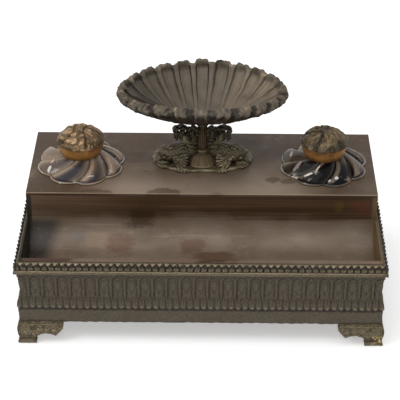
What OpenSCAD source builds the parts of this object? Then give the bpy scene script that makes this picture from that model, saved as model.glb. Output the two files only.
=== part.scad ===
// Desk inkstand in cast bronze: a footed casing with a pen tray in front, a raised deck behind,
// two glass inkwells with hinged lids, and an oval shell dish on a column with two dolphins.
// Millimetres. X to the right, Y to the back, Z up. The origin is on the ground under the middle.

/* [Casing] */
// Width over the rim
case_w = 335; // [320:1:350]
// Depth over the rim
case_d = 198; // [190:1:206]
// Height of the casing walls
wall_h = 53.4; // [48:0.2:58]
// Inner face of the walls, measured in from the rim's face
wall_in = 6.4; // [6.2:0.1:7.5]
// Width of one arch of the frieze
arch_pitch = 12.4; // [10:0.1:16]
// Width of the arches' raised line
arch_line = 1.3; // [0.8:0.1:1.8]
// Height above the wall's foot where the arches begin to curve
arch_spring = 45; // [42:0.2:46]
// Height above the wall's foot of the top of the row of tongues
tongue_top = 27.5; // [25:0.5:30]
// Height above the wall's foot of the bottom of the row of tongues
tongue_low = 15.5; // [14:0.5:18]
// How far the frieze stands out of the wall
relief_h = 0.8; // [0.4:0.1:1]
// Height of the leaf crest on the rim
crest_h = 7.5; // [6:0.1:8.5]
// Height of the fillet under the crest
fillet_h = 3.6; // [2.5:0.1:5]
// Width of the rim's top
rim_w = 4.9; // [4.2:0.1:5.4]
// Width of one leaf of the crest
leaf_pitch = 6.2; // [5:0.1:8]
// How far a leaf stands out of the crest
leaf_depth = 1.6; // [0.8:0.1:2.2]

/* [Feet] */
// Height of the feet
foot_h = 24; // [20:0.5:28]
// Length of a foot along each wall
foot_l = 42; // [36:0.5:52]
// Length of a foot's pad
pad_l = 15.5; // [14:0.5:24]
// Depth of a foot's cheeks, from the rim's face
cheek_t = 9; // [8:0.1:10]
// Thickness of the web that takes the screw
web_t = 5; // [4:0.1:7]
// Side of a corner block
block_w = 14; // [12:0.5:16]
// Space between a front corner block and the pen tray
block_gap = 6; // [3:0.5:8]
// Radius of a foot screw
screw_r = 1.95; // [1.5:0.05:2.4]
// How far a foot screw goes into its corner block
screw_grip = 12; // [8:0.5:16]
// Height of a foot screw's head
screw_head = 2.4; // [1.6:0.1:3]

/* [Tray and deck] */
// Width of the flat ledge in front of the trough, from the rim's face
ledge_w = 10.3; // [8:0.1:14]
// Depth of the trough below the rim
tray_depth = 22.5; // [18:0.5:26]
// Front face of the deck, from the rim's face
deck_y = 79.4; // [74:0.2:84]
// Height of the deck above the rim
deck_rise = 26.1; // [20:0.1:32]
// Radius of the trough's front cove
cove_front_r = 20; // [12:0.5:22]
// Radius of the trough's back cove
cove_back_r = 28; // [20:0.5:32]
// Thickness of the tray and deck castings
plate_t = 2.2; // [1.6:0.1:3]
// Thickness of the deck plate
deck_t = 3; // [2.4:0.1:4]
// Thickness of the tray's end plates
end_t = 1.2; // [0.8:0.1:2]

/* [Inkwells] */
// Place of each inkwell's middle, from the end of the casing
well_in = 52.5; // [50:0.5:58]
// Place of the inkwells behind the rim's front face
well_y = 133; // [130:0.5:140]
// Outer radius of the glass flange
flange_r = 42; // [38:0.5:43]
// Number of swirling lobes on the flange
lobes = 8; // [6:1:10]
// Turn of the lobes from the flange's edge to the neck
lobe_turn = 34; // [20:1:60]
// Height of the glass shoulder above the deck
shoulder_h = 13.5; // [11:0.5:16]
// Radius of the glass pot below the deck
pot_r = 30; // [26:0.5:33]
// Depth of the glass pot below the deck
pot_depth = 38; // [30:1:40]
// Thickness of the glass
glass_t = 3.5; // [2.5:0.1:4.5]
// Radius of the glass neck
neck_r = 17.5; // [16:0.5:19]
// Height of the collar above the shoulder
collar_h = 12.5; // [10:0.5:15]
// Thickness of the collar
collar_t = 1.5; // [1.2:0.1:2]
// How far the collar widens towards its top
collar_flare = 2.6; // [1.5:0.1:3.5]
// How far the lid's edge stands out beyond the collar
lid_lip = 1.5; // [0.8:0.1:2]
// Height of the lid's dome
dome_h = 10; // [8:0.5:13]
// Thickness of the lid
lid_t = 1.8; // [1.2:0.1:2.4]
// Radius of the hinge knuckles
knuckle_r = 2.2; // [1.8:0.1:2.6]
// Radius of the hinge pin
pin_r = 0.9; // [0.6:0.05:1.2]
// How far the hinge pin lies below the lid's edge
pin_drop = 1.2; // [0.8:0.1:1.6]
// Thickness of the straps from the lid to the hinge
strap_t = 1.2; // [1:0.1:1.6]

/* [Shell dish] */
// Place of the column behind the rim's front face
stem_y = 143.8; // [140:0.2:146]
// Half length of the dish
dish_a = 80; // [72:0.5:84]
// Half width of the dish
dish_b = 54; // [48:0.5:58]
// Height of the dish's crest above the deck
dish_top = 79.5; // [74:0.5:86]
// Height of the dish's underside above the deck
dish_foot = 44; // [40:0.5:48]
// Height of the rolled lip
lip_h = 12.5; // [9:0.5:14]
// Number of flutes round the dish
flutes = 24; // [20:2:28]
// How far the two ends of the dish dip
end_dip = 5; // [0:0.5:8]
// Wall of the dish
dish_t = 3; // [2.4:0.1:4]
// Half length of the base plate
base_a = 49; // [44:0.5:54]
// Half width of the base plate
base_b = 28.5; // [24:0.5:29]
// Thickness of the base plate
base_t = 3; // [2:0.1:4]
// Height of the bell foot above the base plate
bell_h = 9.5; // [8:0.5:12]
// Half width of the bell foot
bell_w = 13; // [11:0.5:15]
// Radius of the column
column_r = 4.4; // [4:0.1:5]
// Radius of a dolphin's body
girth = 8; // [7:0.1:8.6]
// Reach of a dolphin's head from the column's axis
head_reach = 40; // [36:0.5:42]
// Height of a dolphin's tail above the deck
tail_h = 38; // [34:0.5:40]
// Height of the leaf cup under the dish
cup_h = 7; // [5:0.5:9]
// Radius of the tie rod
rod_r = 2; // [1.5:0.1:2.4]

/* [Fit] */
// Clearance between pieces of the casing
fit = 0.1; // [0.05:0.01:0.2]
// Clearance of pins, screws and the rod in their holes
run = 0.05; // [0.02:0.01:0.08]
// Clearance between pieces that move past each other
swing = 0.3; // [0.2:0.05:0.5]

/* [Hidden] */
$fn = 48;
rim_z = foot_h + wall_h + fillet_h + crest_h;
rim_base_z = foot_h + wall_h;
deck_z = rim_z + deck_rise;
front_y = -case_d / 2;
deck_in = rim_w + fit;
stem_c = front_y + stem_y;
well_c = front_y + well_y;
well_x = case_w / 2 - well_in;
collar_r = neck_r + run + collar_t;
collar_top_r = collar_r + collar_flare;
collar_z = shoulder_h + run;
lid_z = collar_z + collar_h + swing;
lid_r = collar_top_r + lid_lip;
hinge_y = lid_r + swing + knuckle_r;
hinge_z = lid_z - pin_drop;
column_z = base_t + bell_h;
cup_z = dish_foot - cup_h;
mitre_reach = 20;
front_block_h = wall_h - tray_depth + fillet_h + crest_h - plate_t - block_gap;
nut_h = 3.2;
washer_t = 1.2;
screw_in = wall_in + fit + block_w / 2;
bronze = [0.34, 0.30, 0.25];
dark = [0.26, 0.22, 0.18];
gilt = [0.55, 0.40, 0.20];

// ---------- helpers ----------

// A solid skinned over a list of rings with the same number of points.
module loft(rings) {
    n = len(rings[0]);
    m = len(rings);
    polyhedron(
        points = [for (ring = rings) for (p = ring) p],
        faces = [
            [for (j = [0 : n - 1]) j],
            for (i = [0 : m - 2], j = [0 : n - 1]) each [
                [i * n + j, (i + 1) * n + j, (i + 1) * n + (j + 1) % n],
                [i * n + j, (i + 1) * n + (j + 1) % n, i * n + (j + 1) % n]],
            [for (j = [n - 1 : -1 : 0]) (m - 1) * n + j]]);
}

// Lays an outline drawn as (distance in from the rim's face, height) along the front face.
module along_front(length, z = 0) {
    translate([-length / 2, front_y, z])
        rotate([90, 0, 90])
            linear_extrude(height = length) children();
}

// The part of the plan that belongs to a front piece, cut at 45 degrees through both its corners.
module mitre(length) {
    linear_extrude(height = deck_z)
        polygon([[-length / 2 - 1, front_y - 1], [length / 2 + 1, front_y - 1],
                 [length / 2 - mitre_reach, front_y + mitre_reach],
                 [mitre_reach - length / 2, front_y + mitre_reach]]);
}

// A side piece is made as a front piece of the casing turned round: width and depth change places.
module to_side(side) {
    rotate([0, 0, side < 0 ? -90 : 90])
        translate([0, (case_d - case_w) / 2, 0]) children();
}

// ---------- casing ----------

// How far the wall's face lies behind the rim's face, at a share t of the wall's height:
// a plain band, a torus, then a hollow up to the rim.
function face_in(t) =
    t < 0.28 ? 2.7 - 1.2 * t :
    t < 0.44 ? 1.8 + 0.6 * abs(t - 0.36) / 0.08 :
    2.4 + 1.9 * sin(180 * pow((t - 0.44) / 0.56, 0.61));

module wall_outline() {
    steps = 16;
    polygon(concat(
        [for (i = [0 : steps]) [face_in(i / steps), i / steps * wall_h]],
        [[wall_in, wall_h], [wall_in, 0]]));
}

// The frieze seen from the front: arches that share their legs, a bud in each, and two tongues below.
module frieze_outline(length) {
    count = round(length / arch_pitch);
    pitch = length / count;
    for (i = [0 : count - 1])
        translate([(i + 0.5) * pitch - length / 2, 0]) {
            intersection() {
                translate([0, arch_spring])
                    difference() {
                        circle(r = pitch / 2 + 0.01, $fn = 48);
                        circle(r = pitch / 2 - arch_line, $fn = 48);
                    }
                translate([-pitch, arch_spring]) square([2 * pitch, wall_h - arch_spring]);
            }
            bud(pitch * 0.18, arch_spring - 4);
            for (s = [-1, 1])
                translate([s * pitch / 4, 0]) tongue(pitch * 0.21);
        }
    for (i = [0 : count])
        translate([i * pitch - length / 2 - arch_line / 2, tongue_top + 1])
            square([arch_line, arch_spring - tongue_top - 0.9]);
}

// A pointed bud of half width w with its middle at height z.
module bud(w, z) {
    big = w * 2.6;
    translate([0, z])
        intersection() {
            translate([big - w, 0]) circle(r = big, $fn = 64);
            translate([w - big, 0]) circle(r = big, $fn = 64);
        }
}

module tongue(r) {
    translate([0, tongue_low + r]) circle(r = r, $fn = 32);
    translate([-r, tongue_low + r]) square([2 * r, tongue_top - tongue_low - r]);
}

module wall(length) {
    color(bronze)
        intersection() {
            union() {
                along_front(length, foot_h) wall_outline();
                intersection() {
                    along_front(length, foot_h) translate([-relief_h, 0]) wall_outline();
                    translate([0, front_y + wall_in, foot_h])
                        rotate([90, 0, 0]) linear_extrude(height = wall_in) frieze_outline(length);
                }
            }
            mitre(length);
        }
}

module rim_outline() {
    polygon([[0, 0], [0, fillet_h - 0.6], [0.6, fillet_h], [leaf_depth, fillet_h],
             [leaf_depth, fillet_h + crest_h], [rim_w, fillet_h + crest_h], [rim_w, 0]]);
}

// One leaf of the crest: a tongue with a round tip.
module leaf() {
    r = leaf_pitch * 0.41;
    translate([0, crest_h - r]) circle(r = r, $fn = 24);
    translate([-r, 0]) square([2 * r, crest_h - r]);
}

module rim(length) {
    count = round(length / leaf_pitch);
    step = length / count;
    color(dark)
        intersection() {
            union() {
                along_front(length, rim_base_z) rim_outline();
                for (i = [0 : count - 1])
                    translate([(i + 0.5) * step - length / 2, front_y + leaf_depth, rim_base_z + fillet_h])
                        rotate([90, 0, 0])
                            linear_extrude(height = leaf_depth - 0.2) leaf();
            }
            mitre(length);
        }
}

module foot_outline() {
    arch_l = foot_l - pad_l - 8;
    arch_z = 8.8;
    arch_h = 2.8;
    arch_r = (arch_l * arch_l / 4 + arch_h * arch_h) / (2 * arch_h);
    difference() {
        polygon([[0, 0.8], [0.8, 0], [pad_l - 1, 0], [pad_l, 0.8], [pad_l, 3.4], [pad_l - 0.6, 7.4],
                 [pad_l + 1, arch_z], [foot_l - 7, arch_z], [foot_l - 0.5, 17.2], [foot_l, foot_h], [0, foot_h]]);
        intersection() {
            translate([pad_l + 1 + arch_l / 2, arch_z + arch_h - arch_r]) circle(r = arch_r, $fn = 96);
            translate([pad_l, arch_z - 1]) square([arch_l + 2, arch_h + 2]);
        }
    }
}

module cheek_outline() {
    polygon([[cheek_t, 0], [1.2, 0], [0.7, 0.7], [0.6, 4], [1.4, 5.4], [1.2, 8], [0.3, 12], [0, 15.5],
             [0.3, 19], [1.2, 21.6], [1.2, 22.6], [2.2, foot_h], [cheek_t, foot_h]]);
}

// One cheek of a foot, in the front left corner with the corner itself at the origin.
module cheek() {
    intersection() {
        rotate([90, 0, 90]) linear_extrude(height = foot_l) cheek_outline();
        translate([0, cheek_t, 0]) rotate([90, 0, 0]) linear_extrude(height = cheek_t) foot_outline();
        linear_extrude(height = foot_h)
            polygon([[0, 0], [foot_l + 1, 0], [foot_l + 1, cheek_t], [cheek_t, cheek_t]]);
    }
}

module corner_foot() {
    reach = screw_in + block_w / 2 + 4;
    color(bronze)
    difference() {
        union() {
            cheek();
            mirror([1, -1, 0]) cheek();
            translate([0, 0, foot_h - web_t])
                linear_extrude(height = web_t)
                    polygon([[cheek_t - 1, cheek_t - 1], [reach + 6, cheek_t - 1],
                             [reach, reach], [cheek_t - 1, reach + 6]]);
        }
        translate([screw_in, screw_in, 0]) cylinder(r = screw_r + run, h = foot_h + 1);
    }
}

module block(h) {
    color(gilt)
    difference() {
        translate([wall_in + fit, wall_in + fit, foot_h]) cube([block_w, block_w, h]);
        translate([screw_in, screw_in, foot_h - 1]) cylinder(r = screw_r + run, h = screw_grip + 4);
    }
}

module foot_screw() {
    translate([screw_in, screw_in, foot_h - web_t]) {
        cylinder(r = screw_r, h = web_t + screw_grip);
        difference() {
            translate([0, 0, -screw_head]) cylinder(r = screw_r * 1.9, h = screw_head);
            translate([-screw_r * 2, -screw_r / 4, -screw_head - 1])
                cube([screw_r * 4, screw_r / 2, screw_head / 2 + 1]);
        }
    }
}

module foot_screws() {
    color(gilt)
        for (sx = [-1, 1], sy = [-1, 1])
            at_corner(sx, sy) foot_screw();
}

// Puts a piece drawn in the front left corner into the corner on the given sides.
module at_corner(sx, sy) {
    mirror([sx > 0 ? 1 : 0, 0, 0])
        mirror([0, sy > 0 ? 1 : 0, 0])
            translate([-case_w / 2, front_y, 0]) children();
}

// ---------- tray and deck ----------

// The trough's hollow, grown by t, as (distance in from the rim's face, height).
module trough_hollow(t, top) {
    floor_z = rim_z - tray_depth;
    translate([ledge_w + cove_front_r, floor_z + cove_front_r]) circle(r = cove_front_r + t, $fn = 96);
    translate([deck_y - cove_back_r, floor_z + cove_back_r]) circle(r = cove_back_r + t, $fn = 96);
    translate([ledge_w + cove_front_r, floor_z - t])
        square([deck_y - cove_back_r - ledge_w - cove_front_r, top - floor_z + t]);
    translate([ledge_w - t, floor_z + cove_front_r])
        square([cove_front_r + t, top - floor_z - cove_front_r]);
    translate([deck_y - cove_back_r, floor_z + cove_back_r])
        square([cove_back_r + t, top - floor_z - cove_back_r]);
}

module pen_tray() {
    half = case_w / 2 - wall_in - fit;
    deck_half = case_w / 2 - deck_in;
    color(bronze) {
        difference() {
            union() {
                along_front(2 * half)
                    intersection() {
                        trough_hollow(plate_t, rim_z);
                        translate([0, 0]) square([deck_y + plate_t, rim_z]);
                    }
                along_front(2 * deck_half) {
                    translate([deck_in, rim_z - plate_t]) square([ledge_w - deck_in, plate_t]);
                    translate([deck_in, rim_base_z + fit]) square([plate_t, rim_z - rim_base_z - fit]);
                    translate([deck_y, rim_base_z + fit]) square([plate_t, deck_z - deck_t - rim_base_z - fit]);
                }
            }
            along_front(case_w) trough_hollow(0, deck_z + 1);
        }
    }
}

module tray_end() {
    half = case_w / 2 - wall_in - fit;
    lip = case_w / 2 - deck_in;
    color(bronze)
        intersection() {
            translate([0, front_y + case_d, 0])
                rotate([90, 0, 0])
                    linear_extrude(height = case_d)
                        polygon([[-half, 0], [end_t - half, 0], [end_t - half, rim_base_z + fit],
                                 [end_t - lip, rim_z], [-lip, rim_z],
                                 [-lip, rim_base_z + fit], [-half, rim_base_z + fit]]);
            along_front(case_w) trough_hollow(-fit, rim_z + 1);
        }
}

module deck_plate() {
    deck_half = case_w / 2 - deck_in;
    color(bronze)
        difference() {
            translate([-deck_half, front_y + deck_y, deck_z - deck_t])
                cube([2 * deck_half, case_d - deck_y - deck_in, deck_t]);
            for (s = [-1, 1])
                translate([s * well_x, well_c, deck_z - deck_t - 1])
                    cylinder(r = pot_r + 1, h = deck_t + 2, $fn = 96);
            translate([0, stem_c, deck_z - deck_t - 1]) cylinder(r = rod_r + run, h = deck_t + 2);
        }
}

module deck_side() {
    color(bronze)
        translate([-case_w / 2 + deck_in, front_y + deck_y + plate_t + fit, rim_base_z + fit])
            cube([plate_t, case_d - deck_y - plate_t - fit - deck_in, deck_z - deck_t - rim_base_z - fit]);
}

module deck_back() {
    half = case_w / 2 - deck_in - plate_t - fit;
    color(bronze)
        translate([-half, case_d / 2 - deck_in - plate_t, rim_base_z + fit])
            cube([2 * half, plate_t, deck_z - deck_t - rim_base_z - fit]);
}

// ---------- inkwells ----------

// Radius of the flange's edge where a lobe swells, at angle a and a share u of the way in.
function swirl(a, u) = pow(abs(sin((a - lobe_turn * u) * lobes / 2)), 0.7);

// One ring of the glass shoulder: u is 0 at the flange's edge and 1 at the neck.
function shoulder_ring(u) = let (n = lobes * 8) [
    for (j = [0 : n - 1])
        let (a = j * 360 / n,
             s = swirl(a, u),
             r = (flange_r - 4.2 * (1 - s) * (1 - u)) * (1 - u) + (neck_r + 3) * u,
             z = 2 + (shoulder_h - 2) * pow(u, 1.15 - 0.55 * s) - 1.6 * (1 - s) * sin(u * 180))
        [r * cos(a), r * sin(a), z]];

module glass() {
    edge = shoulder_ring(0);
    rings = 6;
    cavity_z = -pot_depth + glass_t;
    bore_r = neck_r - glass_t;
    color([0.75, 0.78, 0.76, 0.5])
        difference() {
            union() {
                loft([[for (p = edge) [p[0], p[1], 0]],
                      edge,
                      for (i = [1 : rings - 1]) shoulder_ring(i / rings),
                      [for (p = shoulder_ring(1)) [p[0], p[1], shoulder_h]]]);
                translate([0, 0, -pot_depth + 3]) cylinder(r = pot_r, h = pot_depth - 2, $fn = 96);
                translate([0, 0, -pot_depth]) cylinder(r1 = pot_r - 3, r2 = pot_r, h = 3, $fn = 96);
                cylinder(r = neck_r, h = shoulder_h + collar_h - collar_t - run, $fn = 96);
            }
            rotate_extrude($fn = 96)
                polygon([[0, cavity_z], [pot_r - glass_t - 2, cavity_z], [pot_r - glass_t, cavity_z + 2],
                         [pot_r - glass_t, -4], [pot_r - glass_t - 2, 1], [bore_r, shoulder_h - glass_t - 1],
                         [bore_r, 60], [0, 60]]);
        }
}

module collar() {
    top = collar_z + collar_h;
    color(gilt)
        difference() {
            union() {
                rotate_extrude($fn = 96)
                    polygon(concat(
                        [[neck_r + run, collar_z], [collar_r, collar_z]],
                        [for (i = [1 : 6])
                            [collar_r + collar_flare * sin(i * 15), collar_z + (collar_h - 1.5) * i / 6]],
                        [[collar_top_r, top], [neck_r - 2, top], [neck_r - 2, top - collar_t + run],
                         [neck_r + run, top - collar_t + run]]));
                translate([-3, collar_r, top - 2.4]) cube([6, hinge_y - collar_r, 2.2]);
                translate([-3, hinge_y, hinge_z]) rotate([0, 90, 0]) cylinder(r = knuckle_r, h = 6);
            }
            translate([-4, hinge_y, hinge_z]) rotate([0, 90, 0]) cylinder(r = pin_r + run, h = 8);
        }
}

module hinge_pin() {
    color(gilt)
        translate([-7.8, hinge_y, hinge_z]) rotate([0, 90, 0]) cylinder(r = pin_r, h = 15.6);
}

// Height of the lid's dome above its edge, at a share u of the way out.
function dome(u) = dome_h * (1 - pow(u, 2.6)) + 1.6;

module lid() {
    petals = 6;
    steps = 10;
    color(gilt)
        translate([0, 0, lid_z])
            difference() {
                union() {
                    rotate_extrude($fn = 96)
                        polygon(concat(
                            [[0, 0], [lid_r, 0]],
                            [for (i = [steps : -1 : 1]) [lid_r * i / steps, dome(i / steps)]],
                            [[0, dome(0)]]));
                    for (k = [0 : petals - 1])
                        rotate([0, 0, k * 360 / petals])
                            translate([lid_r * 0.52, 0, dome(0.52) - 4.6]) sphere(r = 5.6, $fn = 40);
                    translate([0, 0, dome(0) - 2]) sphere(r = 3, $fn = 32);
                    for (s = [-1, 1]) {
                        translate([s * 5.3 - 2, lid_r - 3, 0]) cube([4, hinge_y - lid_r + 3, strap_t]);
                        translate([s * 5.3 - 2, hinge_y, hinge_z - lid_z])
                            rotate([0, 90, 0]) cylinder(r = knuckle_r, h = 4);
                    }
                }
                rotate_extrude($fn = 96)
                    polygon(concat(
                        [[0, -1], [lid_r - lid_t - 1, -1]],
                        [for (i = [steps : -1 : 1])
                            [(lid_r - lid_t - 1) * i / steps, dome(i / steps) - lid_t]],
                        [[0, dome(0) - lid_t]]));
                translate([-8, hinge_y, hinge_z - lid_z]) rotate([0, 90, 0]) cylinder(r = pin_r + run, h = 16);
            }
}

module at_well(s) {
    translate([s * well_x, well_c, deck_z]) children();
}

// ---------- shell dish ----------

// A point of the dish: r is the share of the way out, z the height, f how deep the flutes are there.
function dish_point(a, r, z, f) =
    let (wave = 2 * sqrt(abs(sin((a - 90) * flutes / 2 + 90))) - 1)
    [dish_a * (r + 0.018 * f * wave) * cos(a),
     dish_b * (r + 0.026 * f * wave) * sin(a),
     z + 0.9 * f * wave - end_dip * pow(r * cos(a), 2)];

function dish_ring(r, z, f) = let (n = flutes * 4)
    [for (j = [0 : n - 1]) dish_point(j * 360 / n, r, z, f)];

// Height of the bowl's underside at a share r of the way out.
function bowl_z(r) = dish_foot + (dish_top - lip_h - dish_foot) * pow(r, 1.6);

module dish() {
    color(bronze)
        translate([0, stem_c, deck_z])
            loft([
                [for (j = [0 : flutes * 4 - 1]) let (a = j * 90 / flutes) [9 * cos(a), 9 * sin(a), dish_foot]],
                for (r = [0.3, 0.5, 0.7, 0.84]) dish_ring(r, bowl_z(r), r),
                dish_ring(0.92, dish_top - lip_h + 1, 1),
                dish_ring(0.985, dish_top - lip_h + 3, 1),
                dish_ring(0.998, dish_top - lip_h / 2, 1),
                dish_ring(0.985, dish_top - 1.5, 1),
                dish_ring(0.95, dish_top, 1),
                dish_ring(0.905, dish_top - 1.5, 1),
                for (r = [0.86, 0.72, 0.5, 0.27]) dish_ring(r, bowl_z(r) + dish_t + 1.5 * r + 5 * pow(r, 8), r),
                [for (j = [0 : flutes * 4 - 1]) let (a = j * 90 / flutes)
                    [7 * cos(a), 7 * sin(a), dish_foot + dish_t]]]);
}

module base_oval() {
    chord = base_a * 1.25;
    big = (chord * chord + base_b * base_b) / (2 * base_b);
    end_r = base_b * 0.74;
    end_x = base_a - end_r;
    intersection() {
        translate([0, big - base_b]) circle(r = big, $fn = 180);
        translate([0, base_b - big]) circle(r = big, $fn = 180);
        square([2 * end_x, 2 * base_b], center = true);
    }
    for (s = [-1, 1])
        translate([s * end_x, 0]) circle(r = end_r);
}

module dish_base() {
    fan_r = 11;
    color(dark)
        translate([0, stem_c, deck_z])
            difference() {
                union() {
                    linear_extrude(height = base_t) base_oval();
                    for (s = [-1, 1])
                        translate([s * 21, 6 - base_b, 0]) cylinder(r = fan_r, h = base_t - 0.6);
                }
                translate([0, 0, -1]) cylinder(r = rod_r + run, h = base_t + 2);
            }
}

module at_stem() {
    translate([0, stem_c, deck_z]) children();
}

// A ring of the bell foot: half width w, half depth d, at height z above the base plate.
function bell_ring(w, d, z) = let (n = 32) [
    for (j = [0 : n - 1])
        let (a = j * 360 / n)
        [w * sign(cos(a)) * pow(abs(cos(a)), 0.6), d * sign(sin(a)) * pow(abs(sin(a)), 0.6), z]];

// The bell foot's outside, grown by t: a skirt that flares to the front and back, and a round ring on top.
module bell_shape(t) {
    ring_r = column_r + 3;
    depth = base_b - 3;
    loft([bell_ring(bell_w + t, depth + t, -t),
          bell_ring(bell_w + t, depth + t, 0.8 + t),
          bell_ring(bell_w * 0.8 + t, depth * 0.62 + t, bell_h * 0.4 + t),
          bell_ring(ring_r - 0.8 + t, ring_r - 0.8 + t, bell_h - 2.4 + t)]);
    translate([0, 0, bell_h - 2.5]) cylinder(r = ring_r + t, h = 2.5 + t);
}

module bell_foot() {
    color(dark)
        translate([0, stem_c, deck_z + base_t])
            difference() {
                bell_shape(0);
                translate([0, 0, -1]) cylinder(r = rod_r + run, h = bell_h + 2);
            }
}

module column() {
    grooves = 12;
    shaft_h = cup_z - column_z;
    color(dark)
        translate([0, stem_c, deck_z + column_z])
            difference() {
                cylinder(r = column_r, h = shaft_h);
                for (k = [0 : grooves - 1])
                    rotate([0, 0, (k + 0.5) * 360 / grooves])
                        translate([column_r + 0.3, 0, 1.5])
                            cylinder(r = column_r * 0.19, h = shaft_h - 3, $fn = 16);
                translate([0, 0, -1]) cylinder(r = rod_r + run, h = shaft_h + 2);
            }
}

module leaf_cup() {
    leaves = 8;
    color(dark)
        translate([0, stem_c, deck_z + cup_z])
            difference() {
                union() {
                    rotate_extrude($fn = 64)
                        polygon([[0, 0], [column_r + 1, 0], [column_r + 1.6, 1], [column_r + 0.4, 2],
                                 [column_r + 1.4, cup_h - 2.5], [column_r + 3.4, cup_h], [0, cup_h]]);
                    for (k = [0 : leaves - 1])
                        rotate([0, 0, k * 360 / leaves])
                            translate([column_r + 1.2, 0, 3.2]) sphere(r = 1.7, $fn = 20);
                }
                translate([0, 0, -1]) cylinder(r = rod_r + run, h = cup_h - 0.8);
            }
}

function bezier(p, t) = pow(1 - t, 3) * p[0] + 3 * t * pow(1 - t, 2) * p[1]
    + 3 * t * t * (1 - t) * p[2] + t * t * t * p[3];

// A round limb along a curve in an upright plane, with its radius looked up along the way.
module limb(line, radii, steps, sides) {
    loft([for (i = [steps : -1 : 0])
        let (t = i / steps,
             p = bezier(line, t),
             d = bezier(line, min(t + 0.02, 1)) - bezier(line, max(t - 0.02, 0)),
             len_d = norm([d[0], d[2]]),
             nx = -d[2] / len_d,
             nz = d[0] / len_d,
             r = lookup(t, radii))
        [for (j = [0 : sides - 1])
            let (a = j * 360 / sides)
            [p[0] + r * cos(a) * nx, p[1] + 1.05 * r * sin(a), p[2] + r * cos(a) * nz]]]);
}

// The right-hand dolphin: head down at the plate's end, body along the plate, tail up beside the
// column, and a leafy fluke that bends outwards from the top and hangs down.
module dolphin() {
    inner = column_r + 5;
    back = tail_h - 5;
    color(dark)
        difference() {
            union() {
                limb([[head_reach, -8, girth], [head_reach * 0.82, -9, girth * 1.55],
                      [inner + 7, -6, girth * 1.5], [inner, -3, girth * 1.3]],
                     [[0, girth * 0.4], [0.07, girth * 0.8], [0.2, girth * 0.98], [0.45, girth * 1.05],
                      [0.8, girth * 0.95], [1, girth * 0.65]], 12, 14);
                limb([[inner + 3, -3, girth], [inner - 1, -1, girth * 2], [inner - 1, 0, tail_h * 0.75],
                      [inner + 5, -1, back]],
                     [[0, girth * 0.7], [0.6, girth * 0.57], [1, girth * 0.45]], 7, 12);
                for (way = [[[inner + 4, -1, back - 0.5], [inner + 11, -2, back]],
                            [[inner + 11, -2, back], [inner + 16, -3, back - 1]],
                            [[inner + 16, -3, back - 1], [inner + 15, -4, back - 8]],
                            [[inner + 3, -5, back - 9], [inner + 9, -5, back - 3]]])
                    hull() {
                        translate(way[0]) sphere(r = girth * 0.44, $fn = 12);
                        translate(way[1]) sphere(r = girth * 0.52, $fn = 12);
                    }
            }
            translate([0, 0, base_t - girth]) cube([4 * base_a, 4 * base_a, 2 * girth], center = true);
            cylinder(r = column_r + fit, h = tail_h + 4);
            translate([0, 0, base_t]) bell_shape(fit);
        }
}

// ---------- tie rod ----------

module tie_rod() {
    color(gilt)
        translate([0, stem_c, deck_z - deck_t - washer_t - nut_h - 1])
            cylinder(r = rod_r, h = deck_t + washer_t + nut_h + 1 + cup_z + cup_h - 2.2);
}

module tie_washer() {
    color(gilt)
        translate([0, stem_c, deck_z - deck_t - washer_t])
            difference() {
                cylinder(r = rod_r * 3, h = washer_t);
                translate([0, 0, -1]) cylinder(r = rod_r + run, h = washer_t + 2);
            }
}

module tie_nut() {
    color(gilt)
        translate([0, stem_c, deck_z - deck_t - washer_t - nut_h])
            difference() {
                cylinder(r = rod_r * 2, h = nut_h, $fn = 6);
                translate([0, 0, -1]) cylinder(r = rod_r + run, h = nut_h + 2);
            }
}

// ---------- assembly ----------

module turned() { rotate([0, 0, 180]) children(); }

wall(case_w);  // wall_front
turned() wall(case_w);  // wall_back
to_side(-1) wall(case_d);  // wall_left
to_side(1) wall(case_d);  // wall_right
rim(case_w);  // rim_front
turned() rim(case_w);  // rim_back
to_side(-1) rim(case_d);  // rim_left
to_side(1) rim(case_d);  // rim_right
at_corner(-1, -1) corner_foot();  // foot_front_left
at_corner(1, -1) corner_foot();  // foot_front_right
at_corner(-1, 1) corner_foot();  // foot_back_left
at_corner(1, 1) corner_foot();  // foot_back_right
at_corner(-1, -1) block(front_block_h);  // block_front_left
at_corner(1, -1) block(front_block_h);  // block_front_right
at_corner(-1, 1) block(wall_h);  // block_back_left
at_corner(1, 1) block(wall_h);  // block_back_right
foot_screws();
pen_tray();
tray_end();  // tray_end_left
mirror([1, 0, 0]) tray_end();  // tray_end_right
deck_plate();
deck_side();  // deck_side_left
mirror([1, 0, 0]) deck_side();  // deck_side_right
deck_back();
dish_base();
bell_foot();
column();
leaf_cup();
dish();
at_stem() mirror([1, 0, 0]) dolphin();  // dolphin_left
at_stem() dolphin();  // dolphin_right
tie_rod();
tie_washer();
tie_nut();
at_well(-1) glass();  // glass_left
at_well(-1) collar();  // collar_left
at_well(-1) lid();  // lid_left
at_well(-1) hinge_pin();  // hinge_pin_left
at_well(1) glass();  // glass_right
at_well(1) collar();  // collar_right
at_well(1) lid();  // lid_right
at_well(1) hinge_pin();  // hinge_pin_right
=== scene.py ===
import math
from contextlib import contextmanager

import bmesh
import bpy
import numpy as np
from mathutils import Matrix, Vector


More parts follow.
